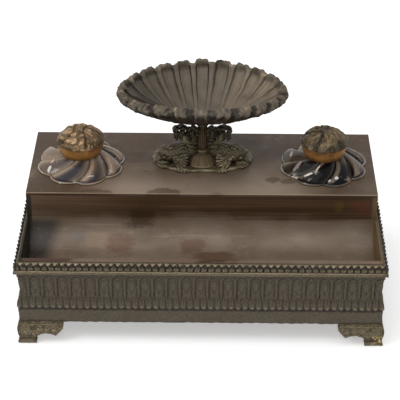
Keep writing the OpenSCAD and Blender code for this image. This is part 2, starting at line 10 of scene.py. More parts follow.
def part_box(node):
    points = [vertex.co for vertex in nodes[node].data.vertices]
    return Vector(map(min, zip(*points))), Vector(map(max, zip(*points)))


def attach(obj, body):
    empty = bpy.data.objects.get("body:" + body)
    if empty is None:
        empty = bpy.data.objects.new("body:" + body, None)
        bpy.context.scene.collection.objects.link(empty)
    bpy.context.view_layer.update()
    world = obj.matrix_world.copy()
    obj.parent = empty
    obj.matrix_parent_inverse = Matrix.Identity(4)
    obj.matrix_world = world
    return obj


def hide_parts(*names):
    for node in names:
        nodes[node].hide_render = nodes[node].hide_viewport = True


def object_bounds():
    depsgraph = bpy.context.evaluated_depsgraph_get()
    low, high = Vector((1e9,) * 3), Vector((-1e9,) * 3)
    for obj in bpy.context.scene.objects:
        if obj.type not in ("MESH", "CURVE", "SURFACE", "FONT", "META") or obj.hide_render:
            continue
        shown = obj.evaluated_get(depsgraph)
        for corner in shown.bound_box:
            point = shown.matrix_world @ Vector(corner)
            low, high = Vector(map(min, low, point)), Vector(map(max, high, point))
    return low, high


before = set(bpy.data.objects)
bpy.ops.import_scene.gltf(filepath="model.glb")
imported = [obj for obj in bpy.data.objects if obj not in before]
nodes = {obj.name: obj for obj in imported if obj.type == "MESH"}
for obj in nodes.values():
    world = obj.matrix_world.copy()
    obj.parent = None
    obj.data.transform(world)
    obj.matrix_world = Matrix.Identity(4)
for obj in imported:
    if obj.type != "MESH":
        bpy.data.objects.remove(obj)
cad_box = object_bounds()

# Everything is drawn in millimetres round the middle of the casing, and put in its place at the end.
MM = 0.001


def size_box(node):
    """A node's low and high corners, in millimetres."""
    low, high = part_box(node)
    return low / MM, high / MM


# ---------- sizes taken from the frame ----------

rim_lo, rim_hi = size_box("rim_front")
wall_lo, wall_hi = size_box("wall_front")
foot_lo, foot_hi = size_box("foot_front_left")
glass_lo, glass_hi = size_box("glass_right")
column_lo, column_hi = size_box("column")
cup_lo, cup_hi = size_box("leaf_cup")
CASE_W = rim_hi.x - rim_lo.x
CASE_D = size_box("rim_back")[1].y - rim_lo.y
MID_Y = rim_lo.y + CASE_D / 2
FOOT_H = wall_lo.z
FOOT_L = foot_hi.x - foot_lo.x
WALL_H = wall_hi.z - wall_lo.z
RIM_BASE = rim_lo.z
DECK_Z = size_box("deck_plate")[1].z
WELL_X = (glass_lo.x + glass_hi.x) / 2
WELL_Y = (glass_lo.y + glass_hi.y) / 2 - MID_Y
STEM_Y = (column_lo.y + column_hi.y) / 2 - MID_Y
COLUMN_LOW = column_lo.z - DECK_Z
COLUMN_TOP = column_hi.z - DECK_Z
CUP_R = (cup_hi.x - cup_lo.x) / 2
SIDES = {"front": (0, CASE_W, CASE_D), "right": (90, CASE_D, CASE_W),
         "back": (180, CASE_W, CASE_D), "left": (-90, CASE_D, CASE_W)}

# ---------- sizes as in the part's source ----------

WALL_IN = 6.4
BAY = 12.4
WALL_BAND = 12.4
ARCH_SPRING = 45.0
RIM_W = 4.9
CREST_LEAF = 6.2
LEAF_LOW = 3.0
LEAF_H = 8.0
CHEEK = 9.0
PAD_L = 16.8
WEB = 5
WEB_NEAR = 4
WEB_FAR = 24.4
LOBES = 8
SWIRL = math.radians(34)
FLANGE_R = 42.0
NECK_R = 17.5
GLASS_T = 3.5
POT_R = 30.0
POT_DEPTH = 38.0
SHOULDER_H = 13.5
MOUTH_Z = 24.4
COLLAR_LOW = 13.6
COLLAR_R = 19.05
COLLAR_FLARE = 2.6
COLLAR_TOP = 26.05
LID_Z = 26.35
LID_R = 23.15
DOME_H = 10.0
HINGE_Y = 25.65
HINGE_Z = 25.15
KNUCKLE_R = 2.2
KNUCKLE_HALF = 3.0
KNUCKLE_GAP = 0.3
LID_KNUCKLE = 4.0
DISH_A = 80.0
DISH_B = 54.0
DISH_TOP = 79.5
LIP_H = 12.5
DISH_FOOT = 44.0
END_DIP = 5.0
FLUTES = 24
BASE_A = 49.0
BASE_B = 28.5


# ---------- curves ----------

def bell(d, w):
    """A smooth bump, 1 where d is 0 and about w wide to each side."""
    return np.exp(-(d / w) ** 2)


def cap(d):
    """Height of a round boss where d is the share of the way out."""
    return np.sqrt(np.clip(1 - d ** 2, 0, 1))


def ease(x, a, b):
    """From 0 at a to 1 at b, smoothly."""
    t = np.clip((x - a) / (b - a), 0, 1)
    return t * t * (3 - 2 * t)


def angles(n):
    """Even steps round a full turn."""
    return np.arange(n) / n * 2 * math.pi


def circle(r, z, n):
    """A level ring of n points. Its radius may change from point to point."""
    a = angles(n)
    return np.stack([r * np.cos(a), r * np.sin(a), np.full(n, z)], -1)


def blunt(c, power):
    """A cosine or sine with its power changed, which squares a circle or makes it slimmer."""
    return np.sign(c) * np.abs(c) ** power


def curve(points, t):
    """Points of a smooth curve pulled by a few control points."""
    n = len(points) - 1
    weights = np.stack([math.comb(n, k) * t ** k * (1 - t) ** (n - k) for k in range(n + 1)], -1)
    return weights @ np.asarray(points, float)


# ---------- mesh helpers ----------

def linked(name, data):
    """A new object in the scene."""
    piece = bpy.data.objects.new(name, data)
    bpy.context.scene.collection.objects.link(piece)
    return piece


def mesh_piece(name, verts, faces, material=None):
    """A new piece with smooth shading, from its points and faces."""
    mesh = bpy.data.meshes.new(name)
    mesh.from_pydata(np.asarray(verts, float).reshape(-1, 3).tolist(), [], faces)
    mesh.validate()
    mesh.polygons.foreach_set("use_smooth", [True] * len(mesh.polygons))
    if material:
        mesh.materials.append(material)
    return linked(name, mesh)


def grid_faces(rows, cols, round_cols=False):
    """Quads over rows by cols vertices, the last column joined to the first if asked."""
    last = cols if round_cols else cols - 1
    return [(i * cols + j, i * cols + (j + 1) % cols, (i + 1) * cols + (j + 1) % cols, (i + 1) * cols + j)
            for i in range(rows - 1) for j in range(last)]


def relief(piece, values):
    """Keeps a tone for each vertex, 0 to 1, for its material to read: mostly how high it stands in the
    relief, and in some places painted shade and painted light.
    """
    attribute = piece.data.attributes.new("relief", "FLOAT", "POINT")
    attribute.data.foreach_set("value", np.clip(values, 0, 1).astype(np.float32).ravel())
    return piece


@contextmanager
def edited(piece):
    """Opens a piece's mesh, and turns its faces outwards before it closes."""
    work = bmesh.new()
    work.from_mesh(piece.data)
    yield work
    bmesh.ops.recalc_face_normals(work, faces=work.faces)
    work.to_mesh(piece.data)
    work.free()


def open_edges(work):
    """Edges with a face on one side only."""
    return [e for e in work.edges if e.is_boundary]


def tidied(piece):
    """Merges doubles and turns the faces outwards."""
    with edited(piece) as work:
        bmesh.ops.remove_doubles(work, verts=work.verts, dist=1e-4)
    return piece


def loft(name, rings, material=None, level=0.5, capped=True):
    """A closed skin over rings of points, with a fan over each end. Level is the relief that it carries."""
    rings = np.asarray(rings, float)
    rows, cols = rings.shape[:2]
    level = np.broadcast_to(np.asarray(level, float), (rows, cols))
    faces = grid_faces(rows, cols, True)
    if not capped:
        return tidied(relief(mesh_piece(name, rings, faces, material), level))
    first, last = rows * cols, rows * cols + 1
    faces += [(first, (j + 1) % cols, j) for j in range(cols)]
    faces += [(last, (rows - 1) * cols + j, (rows - 1) * cols + (j + 1) % cols) for j in range(cols)]
    points = np.concatenate([rings.reshape(-1, 3), [rings[0].mean(0), rings[-1].mean(0)]])
    return relief(mesh_piece(name, points, faces, material),
                  np.concatenate([level.ravel(), [level[0].mean(), level[-1].mean()]]))


def backed(name, front, tone, depth, level, corner=-math.inf, material=None):
    """A sheet of relief with a flat back at a depth, which begins at a corner."""
    back = front[[-1, 0]].copy()
    back[..., 0] = np.maximum(back[..., 0], corner)
    back[..., 1] = depth
    skin = np.concatenate([front, back, front[:1]])
    piece = mesh_piece(name, skin, grid_faces(*skin.shape[:2]), material)
    return relief(piece, np.concatenate([tone, np.full((3, skin.shape[1]), level)]))


def two_sided(name, front, rear, tone, material):
    """A thin piece between two sheets of points, joined round their edge."""
    rows, cols = front.shape[:2]
    faces = grid_faces(rows, cols)
    back = [tuple(reversed([i + rows * cols for i in face])) for face in faces]
    points = np.concatenate([front.reshape(-1, 3), rear.reshape(-1, 3)])
    piece = mesh_piece(name, points, faces + back, material)
    relief(piece, np.concatenate([(tone * np.ones((rows, cols))).ravel(), np.full(rows * cols, 0.2)]))
    with edited(piece) as work:
        bmesh.ops.bridge_loops(work, edges=open_edges(work))
    return piece


def moved(piece, matrix):
    """Moves the mesh itself, and turns its faces back outwards where it was mirrored."""
    piece.data.transform(matrix)
    if matrix.determinant() < 0:
        piece.data.flip_normals()
    return piece


def joined(name, pieces):
    """One piece made of several."""
    work = bmesh.new()
    for piece in pieces:
        work.from_mesh(piece.data)
    mesh = bpy.data.meshes.new(name)
    work.to_mesh(mesh)
    work.free()
    for material in pieces[0].data.materials:
        mesh.materials.append(material)
    for piece in pieces:
        bpy.data.objects.remove(piece)
    return linked(name, mesh)


def read(source, key, n, width=1):
    """Values of a mesh as an array, a row for each vertex."""
    values = np.empty(n * width)
    source.foreach_get(key, values)
    return values.reshape(n, width) if width > 1 else values


def shaken(piece, size, amount, seed):
    """A smooth random push for each point, for the unevenness of a hand-finished casting."""
    points = read(piece.data.vertices, "co", len(piece.data.vertices), 3)
    rng = np.random.default_rng(seed)
    push = np.zeros_like(points)
    for _ in range(6):
        way = rng.normal(size=3)
        way *= 2 * math.pi / (size * np.linalg.norm(way))
        push += np.sin(points @ way + rng.uniform(0, 6.28))[:, None] * rng.normal(size=3)
    piece.data.vertices.foreach_set("co", (points + push * amount / 3).astype(np.float32).ravel())
    return piece


def crumpled(piece, size, depth, seed, share=0.5, over=None):
    """Plump little lobes with thin dark creases between them, as on leaves in an old casting."""
    mesh = piece.data
    n = len(mesh.vertices)
    height = mesh.attributes["relief"].data
    points = read(mesh.vertices, "co", n, 3)
    out = read(mesh.vertices, "normal", n, 3)
    tone = read(height, "value", n)
    rng = np.random.default_rng(seed)
    wave = np.zeros(n)
    for _ in range(8):
        way = rng.normal(size=3)
        way *= 2 * math.pi / (size * rng.uniform(0.8, 1.7) * np.linalg.norm(way))
        wave += np.sin(points @ way + rng.uniform(0, 6.28) + 1.3 * np.sin(points @ np.roll(way, 1) * 0.6))
    swell = np.clip(np.abs(wave) / 2.0, 0, 1) ** 0.6 - 0.7
    if over is not None:
        swell = swell * over(points)
    mesh.vertices.foreach_set("co", (points + out * (swell * depth)[:, None]).astype(np.float32).ravel())
    height.foreach_set("value", np.clip(tone + share * swell, 0, 1).astype(np.float32))
    return piece


def boxed(piece):
    """Keeps every point inside the frame's own box."""
    mesh = piece.data
    hair = 2e-5
    points = read(mesh.vertices, "co", len(mesh.vertices), 3)
    points = np.clip(points, np.array(cad_box[0]) + hair, np.array(cad_box[1]) - hair)
    mesh.vertices.foreach_set("co", points.ravel().astype(np.float32))
    mesh.update()


def placed(piece, body, slot, *stands_for):
    """Puts a finished piece in its place in the row frame, in metres, and on its body."""
    moved(piece, Matrix.Translation((0, MID_Y * MM, 0)) @ Matrix.Scale(MM, 4))
    boxed(piece)
    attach(piece, body)
    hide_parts(*stands_for)
    return piece


# ---------- materials ----------

def maths(operation, swapped=False):
    """A method that adds one Math node to the shader tree."""
    def method(self, other=None):
        pair = [self] if other is None else [other, self] if swapped else [self, other]
        return self.paint.node("ShaderNodeMath", {"operation": operation}, dict(enumerate(pair)))
    return method


class Value:
    """A socket of the shader tree that can be used in sums."""

    def __init__(self, paint, socket):
        self.paint = paint
        self.socket = socket

    __add__ = __radd__ = maths("ADD")
    __sub__ = maths("SUBTRACT")
    __rsub__ = maths("SUBTRACT", True)
    __mul__ = __rmul__ = maths("MULTIPLY")
    __pow__ = maths("POWER")
    __gt__ = maths("GREATER_THAN")
    size = maths("ABSOLUTE")

    def ramp(self, a, b, lo=0.0, hi=1.0):
        """Smoothly from lo at a to hi at b."""
        return self.paint.node("ShaderNodeMapRange", {"interpolation_type": "SMOOTHSTEP"},
                               {0: self, 1: a, 2: b, 3: lo, 4: hi})


def linear(colour):
    """A colour given as 0 to 255 on screen, as the shader wants it."""
    return (*(((c / 255 + 0.055) / 1.055) ** 2.4 if c > 10 else c / 255 / 12.92 for c in colour), 1.0)


class Paint:
    """A material and the few nodes that it is mixed from. Colours are given as 0 to 255 on screen."""

    def __init__(self, name, **constants):
        self.material = bpy.data.materials.new(name)
        self.material.use_nodes = True
        self.tree = self.material.node_tree
        self.tree.nodes.clear()
        output = self.tree.nodes.new("ShaderNodeOutputMaterial")
        self.shader = self.tree.nodes.new("ShaderNodeBsdfPrincipled")
        self.tree.links.new(self.shader.outputs[0], output.inputs[0])
        for key, value in constants.items():
            self.shader.inputs[key.replace("_", " ")].default_value = value
        self.place = self.node("ShaderNodeTexCoord", {}, {}, "Object")
        self.x, self.y, self.z = (
            self.node("ShaderNodeSeparateXYZ", {}, {0: self.place}, axis) for axis in "XYZ")

    def node(self, kind, settings, inputs, out=0):
        """Adds a node with its settings, then the values or links of its sockets."""
        made = self.tree.nodes.new(kind)
        for key, value in settings.items():
            setattr(made, key, value)
        for key, value in inputs.items():
            if isinstance(value, Value):
                self.tree.links.new(value.socket, made.inputs[key])
            else:
                made.inputs[key].default_value = value
        return Value(self, made.outputs[out])

    def noise(self, scale, detail=4.0, rough=0.55, stretch=(1, 1, 1), shift=(0, 0, 0), twist=0.0):
        """Noise with about `scale` blotches a metre, from 0 to 1."""
        where = self.node("ShaderNodeMapping", {}, {0: self.place, 1: shift, 3: stretch})
        return self.node("ShaderNodeTexNoise", {"noise_dimensions": "3D"},
                         {"Vector": where, "Scale": scale, "Detail": detail, "Roughness": rough,
                          "Distortion": twist})

    def kept(self, name):
        """An attribute that the mesh carries."""
        return self.node("ShaderNodeAttribute", {"attribute_name": name}, {}, "Fac")

    def mix(self, share, a, b):
        """Colour a with colour b over it by its share."""
        a, b = (c if isinstance(c, Value) else linear(c) for c in (a, b))
        return self.node("ShaderNodeMix", {"data_type": "RGBA"}, {0: share, 6: a, 7: b}, 2)

    def coats(self, base, *layers):
        """Lays colours over a base one after another, each by its share."""
        for share, colour in layers:
            base = self.mix(share, base, colour)
        return base

    def put(self, **links):
        """Links values to the shader's own sockets."""
        for key, value in links.items():
            self.tree.links.new(value.socket, self.shader.inputs[key.replace("_", " ")])

    def emboss(self, height, depth, strength):
        """Fine unevenness of the surface, its depth in metres."""
        bump = {"Strength": strength, "Distance": depth, "Height": height}
        self.put(Normal=self.node("ShaderNodeBump", {}, bump))


# Ink stains on the deck: x and y of the middle, and radius
DECK_STAINS = ((-0.098, -0.022, 0.013), (-0.036, -0.020, 0.012), (-0.0535, 0.0195, -0.002),
               (-0.155, 0.0, 0.012), (0.068, 0.006, 0.004), (0.079, 0.004, 0.004), (0.136, -0.016, 0.013),
               (-0.062, 0.046, 0.014), (-0.136, 0.078, 0.016), (0.013, -0.024, 0.005))
# Patches in the tray: x, place down the trough, half width, half height, share and colour
TRAY_PATCHES = ((-0.0764, 0.0450, 0.0140, 0.0090, 0.75, (92, 65, 50)),
                (-0.0091, 0.0444, 0.015, 0.0085, 0.75, (84, 60, 44)),
                (-0.0554, 0.0725, 0.0155, 0.0105, 0.8, (50, 34, 17)),
                (0.0128, 0.0362, 0.020, 0.004, 0.75, (76, 52, 36)),
                (-0.114, 0.0539, 0.010, 0.005, 0.5, (98, 92, 88)),
                (-0.0984, 0.0496, 0.012, 0.008, 0.5, (128, 108, 88)),
                (0.127, 0.0837, 0.0045, 0.006, 0.6, (84, 70, 28)),
                (0.1504, 0.0828, 0.011, 0.009, 0.5, (92, 50, 34)))
# Painted glints on the glass, in millimetres: x, y, half length, half width, lean in degrees, share and
# colour
LEFT_GLINTS = ((-143.5, 14.0, 3.0, 1.6, 70, 0.75, (222, 216, 210)),
               (-150.0, 11.0, 4.5, 1.0, 105, 0.7, (214, 206, 198)),
               (-134.0, -4.5, 3.2, 1.0, 10, 0.75, (208, 202, 196)),
               (-141.0, 20.0, 2.2, 1.0, 40, 0.6, (214, 208, 202)),
               (-118.0, -3.5, 3.0, 0.8, 0, 0.5, (196, 186, 174)),
               (-104.0, -1.0, 3.6, 0.8, 20, 0.5, (190, 182, 172)))
RIGHT_GLINTS = ((99.0, 3.5, 4.0, 1.2, 8, 0.85, (218, 214, 210)),
                (108.0, 9.0, 5.5, 0.8, 62, 0.8, (206, 200, 192)),
                (118.5, -1.5, 1.5, 1.5, 0, 0.9, (222, 222, 222)),
                (125.0, -1.0, 1.8, 1.4, 20, 0.85, (208, 208, 210)),
                (89.5, 17.0, 6.0, 1.8, 40, 0.5, (186, 170, 162)),
                (88.0, 8.0, 4.5, 1.2, -35, 0.7, (226, 216, 204)),
                (139.0, 3.0, 5.0, 1.2, 12, 0.5, (168, 136, 104)),
                (84.5, 40.0, 1.4, 4.0, -10, 0.6, (214, 206, 198)))


def plate_bronze():
    """Plates of the deck: a brown-grey patina with old ink stains, its colour darker towards the ends.
    Painted shade darkens the back, the right and the faces below the top, and painted highlights light the
    front middle and the front edge.
    """
    paint = Paint("plate_bronze", Metallic=0.2, Specular_IOR_Level=0.3)
    broad = paint.noise(13, 3, 0.5, twist=0.6)
    cloud = paint.noise(45, 5, 0.6, shift=(3, 1, 7))
    fine = paint.noise(420, 3, 0.6)
    warp = paint.noise(80, 4, 0.65, shift=(1, 5, 3)) * 0.02 - 0.010
    ends = paint.x.size().ramp(0.035, 0.14) * broad.ramp(0.25, 0.6, 0.6, 1.0)
    # Painted highlight: a pool of light on the front middle of the deck
    painted_sheen = paint.x.size().ramp(0.13, 0.06) * paint.y.ramp(0.02, -0.012)
    base = paint.coats(
        paint.mix(broad.ramp(0.35, 0.65), (118, 103, 88), (101, 84, 68)),
        (ends, (72, 56, 40)),
        # Painted shade, darker towards the back
        (paint.y.ramp(0.0, 0.07) * 0.85, (68, 54, 43)),
        (cloud.ramp(0.44, 0.30) * 0.5, (112, 96, 82)),
        # Painted shade, darker on the right
        (paint.x.ramp(0.06, 0.12) * 0.35, (58, 45, 32)),
        (paint.x.ramp(-0.07, -0.12) * paint.y.ramp(0.01, -0.02) * 0.5, (58, 40, 24)),
        (painted_sheen * 0.8, (138, 122, 106)),
        (cloud.ramp(0.56, 0.72) * 0.6, (104, 78, 62)))
    ink = paint.mix(fine.ramp(0.3, 0.7), (76, 58, 45), (60, 46, 34))
    for x, y, r in DECK_STAINS:
        across = paint.x - x
        along = (paint.y - y) * 1.7
        away = (across * across + along * along) ** 0.5 + warp
        base = paint.mix(away.ramp(r + 0.006, r + 0.002) * 0.7, base, ink)
    # Painted highlight along the deck's front edge, and painted shade on the plates' faces below the top
    edge_highlight = paint.y.ramp(-0.0189, -0.0196) * paint.z.ramp(0.1135, 0.1143)
    base = paint.coats(
        base,
        (fine.ramp(0.55, 0.8) * 0.3, (136, 122, 106)),
        (edge_highlight * 0.7, (170, 150, 124)),
        (paint.z.ramp(0.1140, 0.1134) * 0.8, (52, 36, 24)))
    paint.put(Base_Color=base, Roughness=cloud.ramp(0.3, 0.7, 0.42, 0.6))
    paint.emboss(fine * 0.5 + cloud, 0.0002, 0.5)
    return paint.material


def tray_bronze():
    """The trough and the riser: brown streaks along the riser, and scratches and flecks. Painted shade
    darkens the cove from its lighter bottom up to the riser, and the riser too.
    """
    paint = Paint("tray_bronze", Metallic=0.2, Specular_IOR_Level=0.3)
    streak = paint.noise(34, 5, 0.7, stretch=(0.16, 1, 12))
    broad = paint.noise(16, 3, 0.5, shift=(2, 8, 1), stretch=(0.7, 1, 2), twist=0.8)
    patch = paint.noise(20, 3, 0.5, shift=(5, 5, 0), twist=0.5)
    fine = paint.noise(380, 3, 0.6)
    scratch = paint.noise(160, 2, 0.5, stretch=(0.05, 1, 2))
    mottle = paint.noise(95, 5, 0.7, stretch=(0.6, 1, 1.5), shift=(1, 9, 4))
    fall = paint.z * 0.925 + paint.y * 0.503
    level = fall + (streak - 0.5) * 0.03 + (patch - 0.5) * 0.02
    left = paint.x.ramp(-0.05, -0.12)
    brown = paint.mix(streak.ramp(0.3, 0.7), paint.mix(left, (80, 57, 37), (100, 78, 60)),
                      paint.mix(left, (56, 38, 20), (78, 59, 43)))
    base = paint.coats(
        paint.mix(broad.ramp(0.3, 0.7), (113, 99, 85), (99, 86, 72)),
        (patch.ramp(0.50, 0.68) * 0.4, (84, 64, 48)),
        (mottle.ramp(0.46, 0.30) * 0.5, (82, 68, 56)),
        (mottle.ramp(0.54, 0.72) * 0.5, (130, 114, 98)),
        (scratch.ramp(0.62, 0.72) * 0.35, (140, 124, 104)),
        # Painted shade: the cove darkens towards the riser, and the riser's streaked brown is dark partly as
        # painted shade
        (level.ramp(0.056, 0.078) * 0.75, (98, 79, 62)),
        (level.ramp(0.070, 0.080), brown))
    for x, down, wide, high, share, tone in TRAY_PATCHES:
        across = (paint.x - x) * (1 / wide)
        along = (fall - down) * (1 / high)
        ragged = (patch - 0.5) * 1.8 + (streak - 0.5) * 1.4 + (fine - 0.5) * 0.7
        away = (across ** 4 + along ** 4) ** 0.25 + ragged
        base = paint.mix(away.ramp(1.25, 0.65) * share, base, tone)
    # Painted shadow that the left rim casts into the trough's left end
    corner = (paint.x - (fall - 0.05) * 0.25).ramp(-0.128, -0.145) * fall.ramp(0.074, 0.064)
    ledge = paint.z.ramp(0.0882, 0.0885) * paint.y.ramp(-0.02, -0.03) * paint.x.size().ramp(0.1595, 0.158)
    base = paint.coats(
        base,
        (corner * 0.95, (42, 36, 31)),
        (paint.x.ramp(0.02, 0.12) * fall.ramp(0.072, 0.064) * 0.3, (90, 75, 60)),
        (paint.x.ramp(0.146, 0.158) * 0.25, (60, 46, 34)),
        # The end walls: the left one painted near-black as painted shade, the right one a lit brown as
        # painted light
        (paint.x.size().ramp(0.157, 0.159) * 0.95, paint.mix(paint.x > 0, (30, 24, 16), (96, 76, 50))),
        (ledge * patch.ramp(0.35, 0.6), (104, 86, 70)),
        (ledge * broad.ramp(0.52, 0.6), (66, 46, 34)),
        (fine.ramp(0.55, 0.8) * paint.z.ramp(0.088, 0.078) * 0.25, (140, 124, 106)))
    paint.put(Base_Color=base, Roughness=broad.ramp(0.3, 0.7, 0.4, 0.58))
    paint.emboss(fine * 0.5 + streak, 0.0002, 0.5)
    return paint.material


def relief_bronze(name, deep, body, worn, tint, speck=1.0, flaked=False):
    """Cast relief: dark in the hollows, as patina and painted shade, rubbed on the high places, with greenish
    patches.
    """
    paint = Paint(name, Metallic=0.2, Specular_IOR_Level=0.3)
    height = paint.kept("relief")
    cloud = paint.noise(60, 4, 0.6)
    grain = paint.noise(700, 4, 0.7)
    green = paint.noise(38, 3, 0.55, shift=(4, 2, 9))
    base = paint.coats(
        paint.mix(green.ramp(0.45, 0.7) * 0.6, body, tint),
        (height.ramp(0.5, 0.0), deep),
        (height.ramp(0.5, 1.0) * cloud.ramp(0.25, 0.6), worn),
        (grain.ramp(0.54, 0.68) * (0.5 * speck), worn),
        (grain.ramp(0.46, 0.32) * (0.6 * speck), deep))
    if flaked:
        line = (paint.noise(190, 2, 0.6, shift=(3, 0, 1)) - 0.5).size().ramp(0.022, 0.012)
        pad = paint.x.ramp(0.156, 0.159) * paint.x.ramp(0.172, 0.169) * paint.y.ramp(-0.07, -0.08)
        base = paint.mix(line * pad * paint.z.ramp(0.0125, 0.0105) * 0.9, base, (232, 208, 138))
    paint.put(Base_Color=base, Roughness=cloud.ramp(0.3, 0.7, 0.42, 0.6))
    paint.emboss(grain, 0.0004, 0.8)
    return paint.material


def gilt(name, deep, body, bright):
    """Worn gilding over bronze."""
    paint = Paint(name, Metallic=0.45, Specular_IOR_Level=0.3)
    height = paint.kept("relief")
    cloud = paint.noise(110, 4, 0.6)
    grain = paint.noise(1100, 3, 0.6)
    base = paint.coats(
        paint.mix(height.ramp(0.0, 0.5), deep, body),
        (height.ramp(0.5, 1.0) * cloud.ramp(0.25, 0.6), bright),
        (cloud.ramp(0.52, 0.68) * 0.6, deep),
        (cloud.ramp(0.44, 0.30) * 0.45, bright))
    paint.put(Base_Color=base, Roughness=cloud.ramp(0.3, 0.7, 0.38, 0.55))
    paint.emboss(grain + cloud, 0.00015, 0.6)
    return paint.material


def moulded_glass(name, low, high, ink, front, glints):
    """Old thick glass, smoky and stained inside, with painted dark reflections and painted glints on its
    front lobes, and a painted highlight on its crests and rolled edge.
    """
    paint = Paint(name, IOR=1.4, Specular_IOR_Level=0.12, Transmission_Weight=0.02, Roughness=0.12,
                  Coat_Roughness=0.03)
    height = paint.kept("relief")
    haze = paint.noise(38, 3, 0.6, twist=0.8)
    painted_glint_flecks = paint.noise(120, 4, 0.7, shift=(2, 2, 5))
    warp = paint.noise(260, 3, 0.6, shift=(6, 1, 1))
    # Painted dark reflection, near black, on the faces of each well's front lobes, most in the middle; front
    # gives its share
    middle = (paint.x.size() - WELL_X * MM).size().ramp(0.034, 0.022, 0.45, 1.0)
    dark = paint.y.ramp(0.027, 0.014) * height.ramp(0.8, 0.5) * middle * front
    base = paint.coats(
        paint.mix(height.ramp(0.15, 0.75), low, high),
        (haze.ramp(0.45, 0.60) * ink, (14, 12, 12)),
        (dark, (9, 8, 10)),
        # Painted glints as light flecks, and a painted highlight on the crests and the rolled edge
        (painted_glint_flecks.ramp(0.60, 0.66) * 0.3, (190, 176, 162)),
        (height.ramp(0.86, 0.97) * 0.7, (190, 180, 168)))
    # Painted glints from the table
    for x, y, long, wide, lean, share, tone in glints:
        c = math.cos(math.radians(lean))
        d = math.sin(math.radians(lean))
        right = paint.x - x * MM
        back = paint.y - y * MM
        along = (right * c + back * d) * (1 / (long * MM))
        across = (back * c - right * d) * (1 / (wide * MM))
        away = (along * along + across * across) ** 0.5 + (warp - 0.5) * 1.6
        base = paint.mix(away.ramp(1.1, 0.8) * share, base, tone)
    paint.put(Base_Color=base, Coat_Weight=height.ramp(0.1, 0.6, 0.05, 0.3) * (1 - dark))
    paint.emboss(paint.noise(120, 2, 0.5), 0.0004, 0.5)
    return paint.material


def plain_brass():
    """Brass of the blocks, screws, pins and the tie."""
    paint = Paint("plain_brass", Metallic=0.9)
    cloud = paint.noise(180, 4, 0.6)
    paint.put(Base_Color=paint.mix(cloud.ramp(0.35, 0.7), (150, 122, 70), (92, 72, 42)),
              Roughness=cloud.ramp(0.3, 0.7, 0.35, 0.55))
    paint.emboss(paint.noise(700, 2, 0.5), 0.0001, 0.5)
    return paint.material


PLATE = plate_bronze()
TRAY = tray_bronze()
# The frieze is a darker bronze than the deck, partly as painted shade on the upright walls
FRIEZE = relief_bronze("frieze_bronze", (30, 24, 14), (74, 65, 52), (112, 99, 80), (70, 67, 52))
CREST = relief_bronze("crest_bronze", (22, 16, 9), (90, 79, 61), (154, 138, 112), (74, 72, 50))
FOOT = relief_bronze("foot_bronze", (40, 32, 20), (98, 87, 65), (140, 126, 96), (90, 86, 62), flaked=True)
DISH = relief_bronze("dish_bronze", (26, 19, 11), (86, 77, 65), (148, 127, 104), (80, 73, 58), 0.3)
FIGURE = relief_bronze("figure_bronze", (22, 17, 9), (82, 73, 55), (142, 129, 102), (74, 71, 50), 0.6)
APRON = relief_bronze("apron_bronze", (40, 30, 18), (108, 92, 68), (150, 136, 108), (84, 90, 88), 0.6)
SHAFT = relief_bronze("shaft_bronze", (22, 16, 9), (66, 50, 32), (104, 78, 50), (74, 46, 28))
LID_LIGHT = gilt("lid_gilt_light", (50, 37, 20), (98, 78, 53), (172, 143, 110))
LID_DARK = gilt("lid_gilt_dark", (34, 28, 17), (72, 60, 43), (112, 94, 66))
BAND = gilt("band_gilt", (74, 50, 28), (152, 108, 60), (200, 150, 74))
GLASS_LIGHT = moulded_glass("smoky_glass", (58, 54, 58), (140, 120, 102), 0.12, 0.3, LEFT_GLINTS)
GLASS_DARK = moulded_glass("inky_glass_with_painted_reflection", (8, 7, 9), (96, 83, 70), 0.35, 0.95, RIGHT_GLINTS)
BRASS = plain_brass()
# Bright paper that is lit from below as well, so only the deepest shade shows on it
FLOOR = Paint("floor_paper", Roughness=0.7, Emission_Strength=0.42, Base_Color=(0.8, 0.8, 0.8, 1.0),
              Emission_Color=(1.0, 1.0, 1.0, 1.0)).material


# ---------- rows of relief round the casing ----------

def row_tree():
    """Copies the motif along X, joins the copies and gives them their material."""
    tree = bpy.data.node_groups.new("row_of_motifs", "GeometryNodeTree")
    socket = tree.interface.new_socket
    inputs = {"Geometry": "Geometry", "Count": "Int", "Pitch": "Float", "Finish": "Material"}
    for label, kind in inputs.items():
        socket(label, in_out="INPUT", socket_type="NodeSocket" + kind)
    socket("Geometry", in_out="OUTPUT", socket_type="NodeSocketGeometry")
    start, line, offset, place, real, weld, finish, end = (tree.nodes.new(kind) for kind in (
        "NodeGroupInput", "GeometryNodeMeshLine", "ShaderNodeCombineXYZ", "GeometryNodeInstanceOnPoints",
        "GeometryNodeRealizeInstances", "GeometryNodeMergeByDistance", "GeometryNodeSetMaterial",
        "NodeGroupOutput"))
    weld.inputs["Distance"].default_value = 1e-4
    for source, target in (
            (start.outputs["Count"], line.inputs["Count"]), (start.outputs["Pitch"], offset.inputs["X"]),
            (offset.outputs[0], line.inputs["Offset"]), (line.outputs[0], place.inputs["Points"]),
            (start.outputs["Geometry"], place.inputs["Instance"]), (place.outputs[0], real.inputs[0]),
            (real.outputs[0], weld.inputs["Geometry"]), (weld.outputs[0], finish.inputs["Geometry"]),
            (start.outputs["Finish"], finish.inputs["Material"]), (finish.outputs[0], end.inputs[0])):
        tree.links.new(source, target)
    return tree


ROW = row_tree()


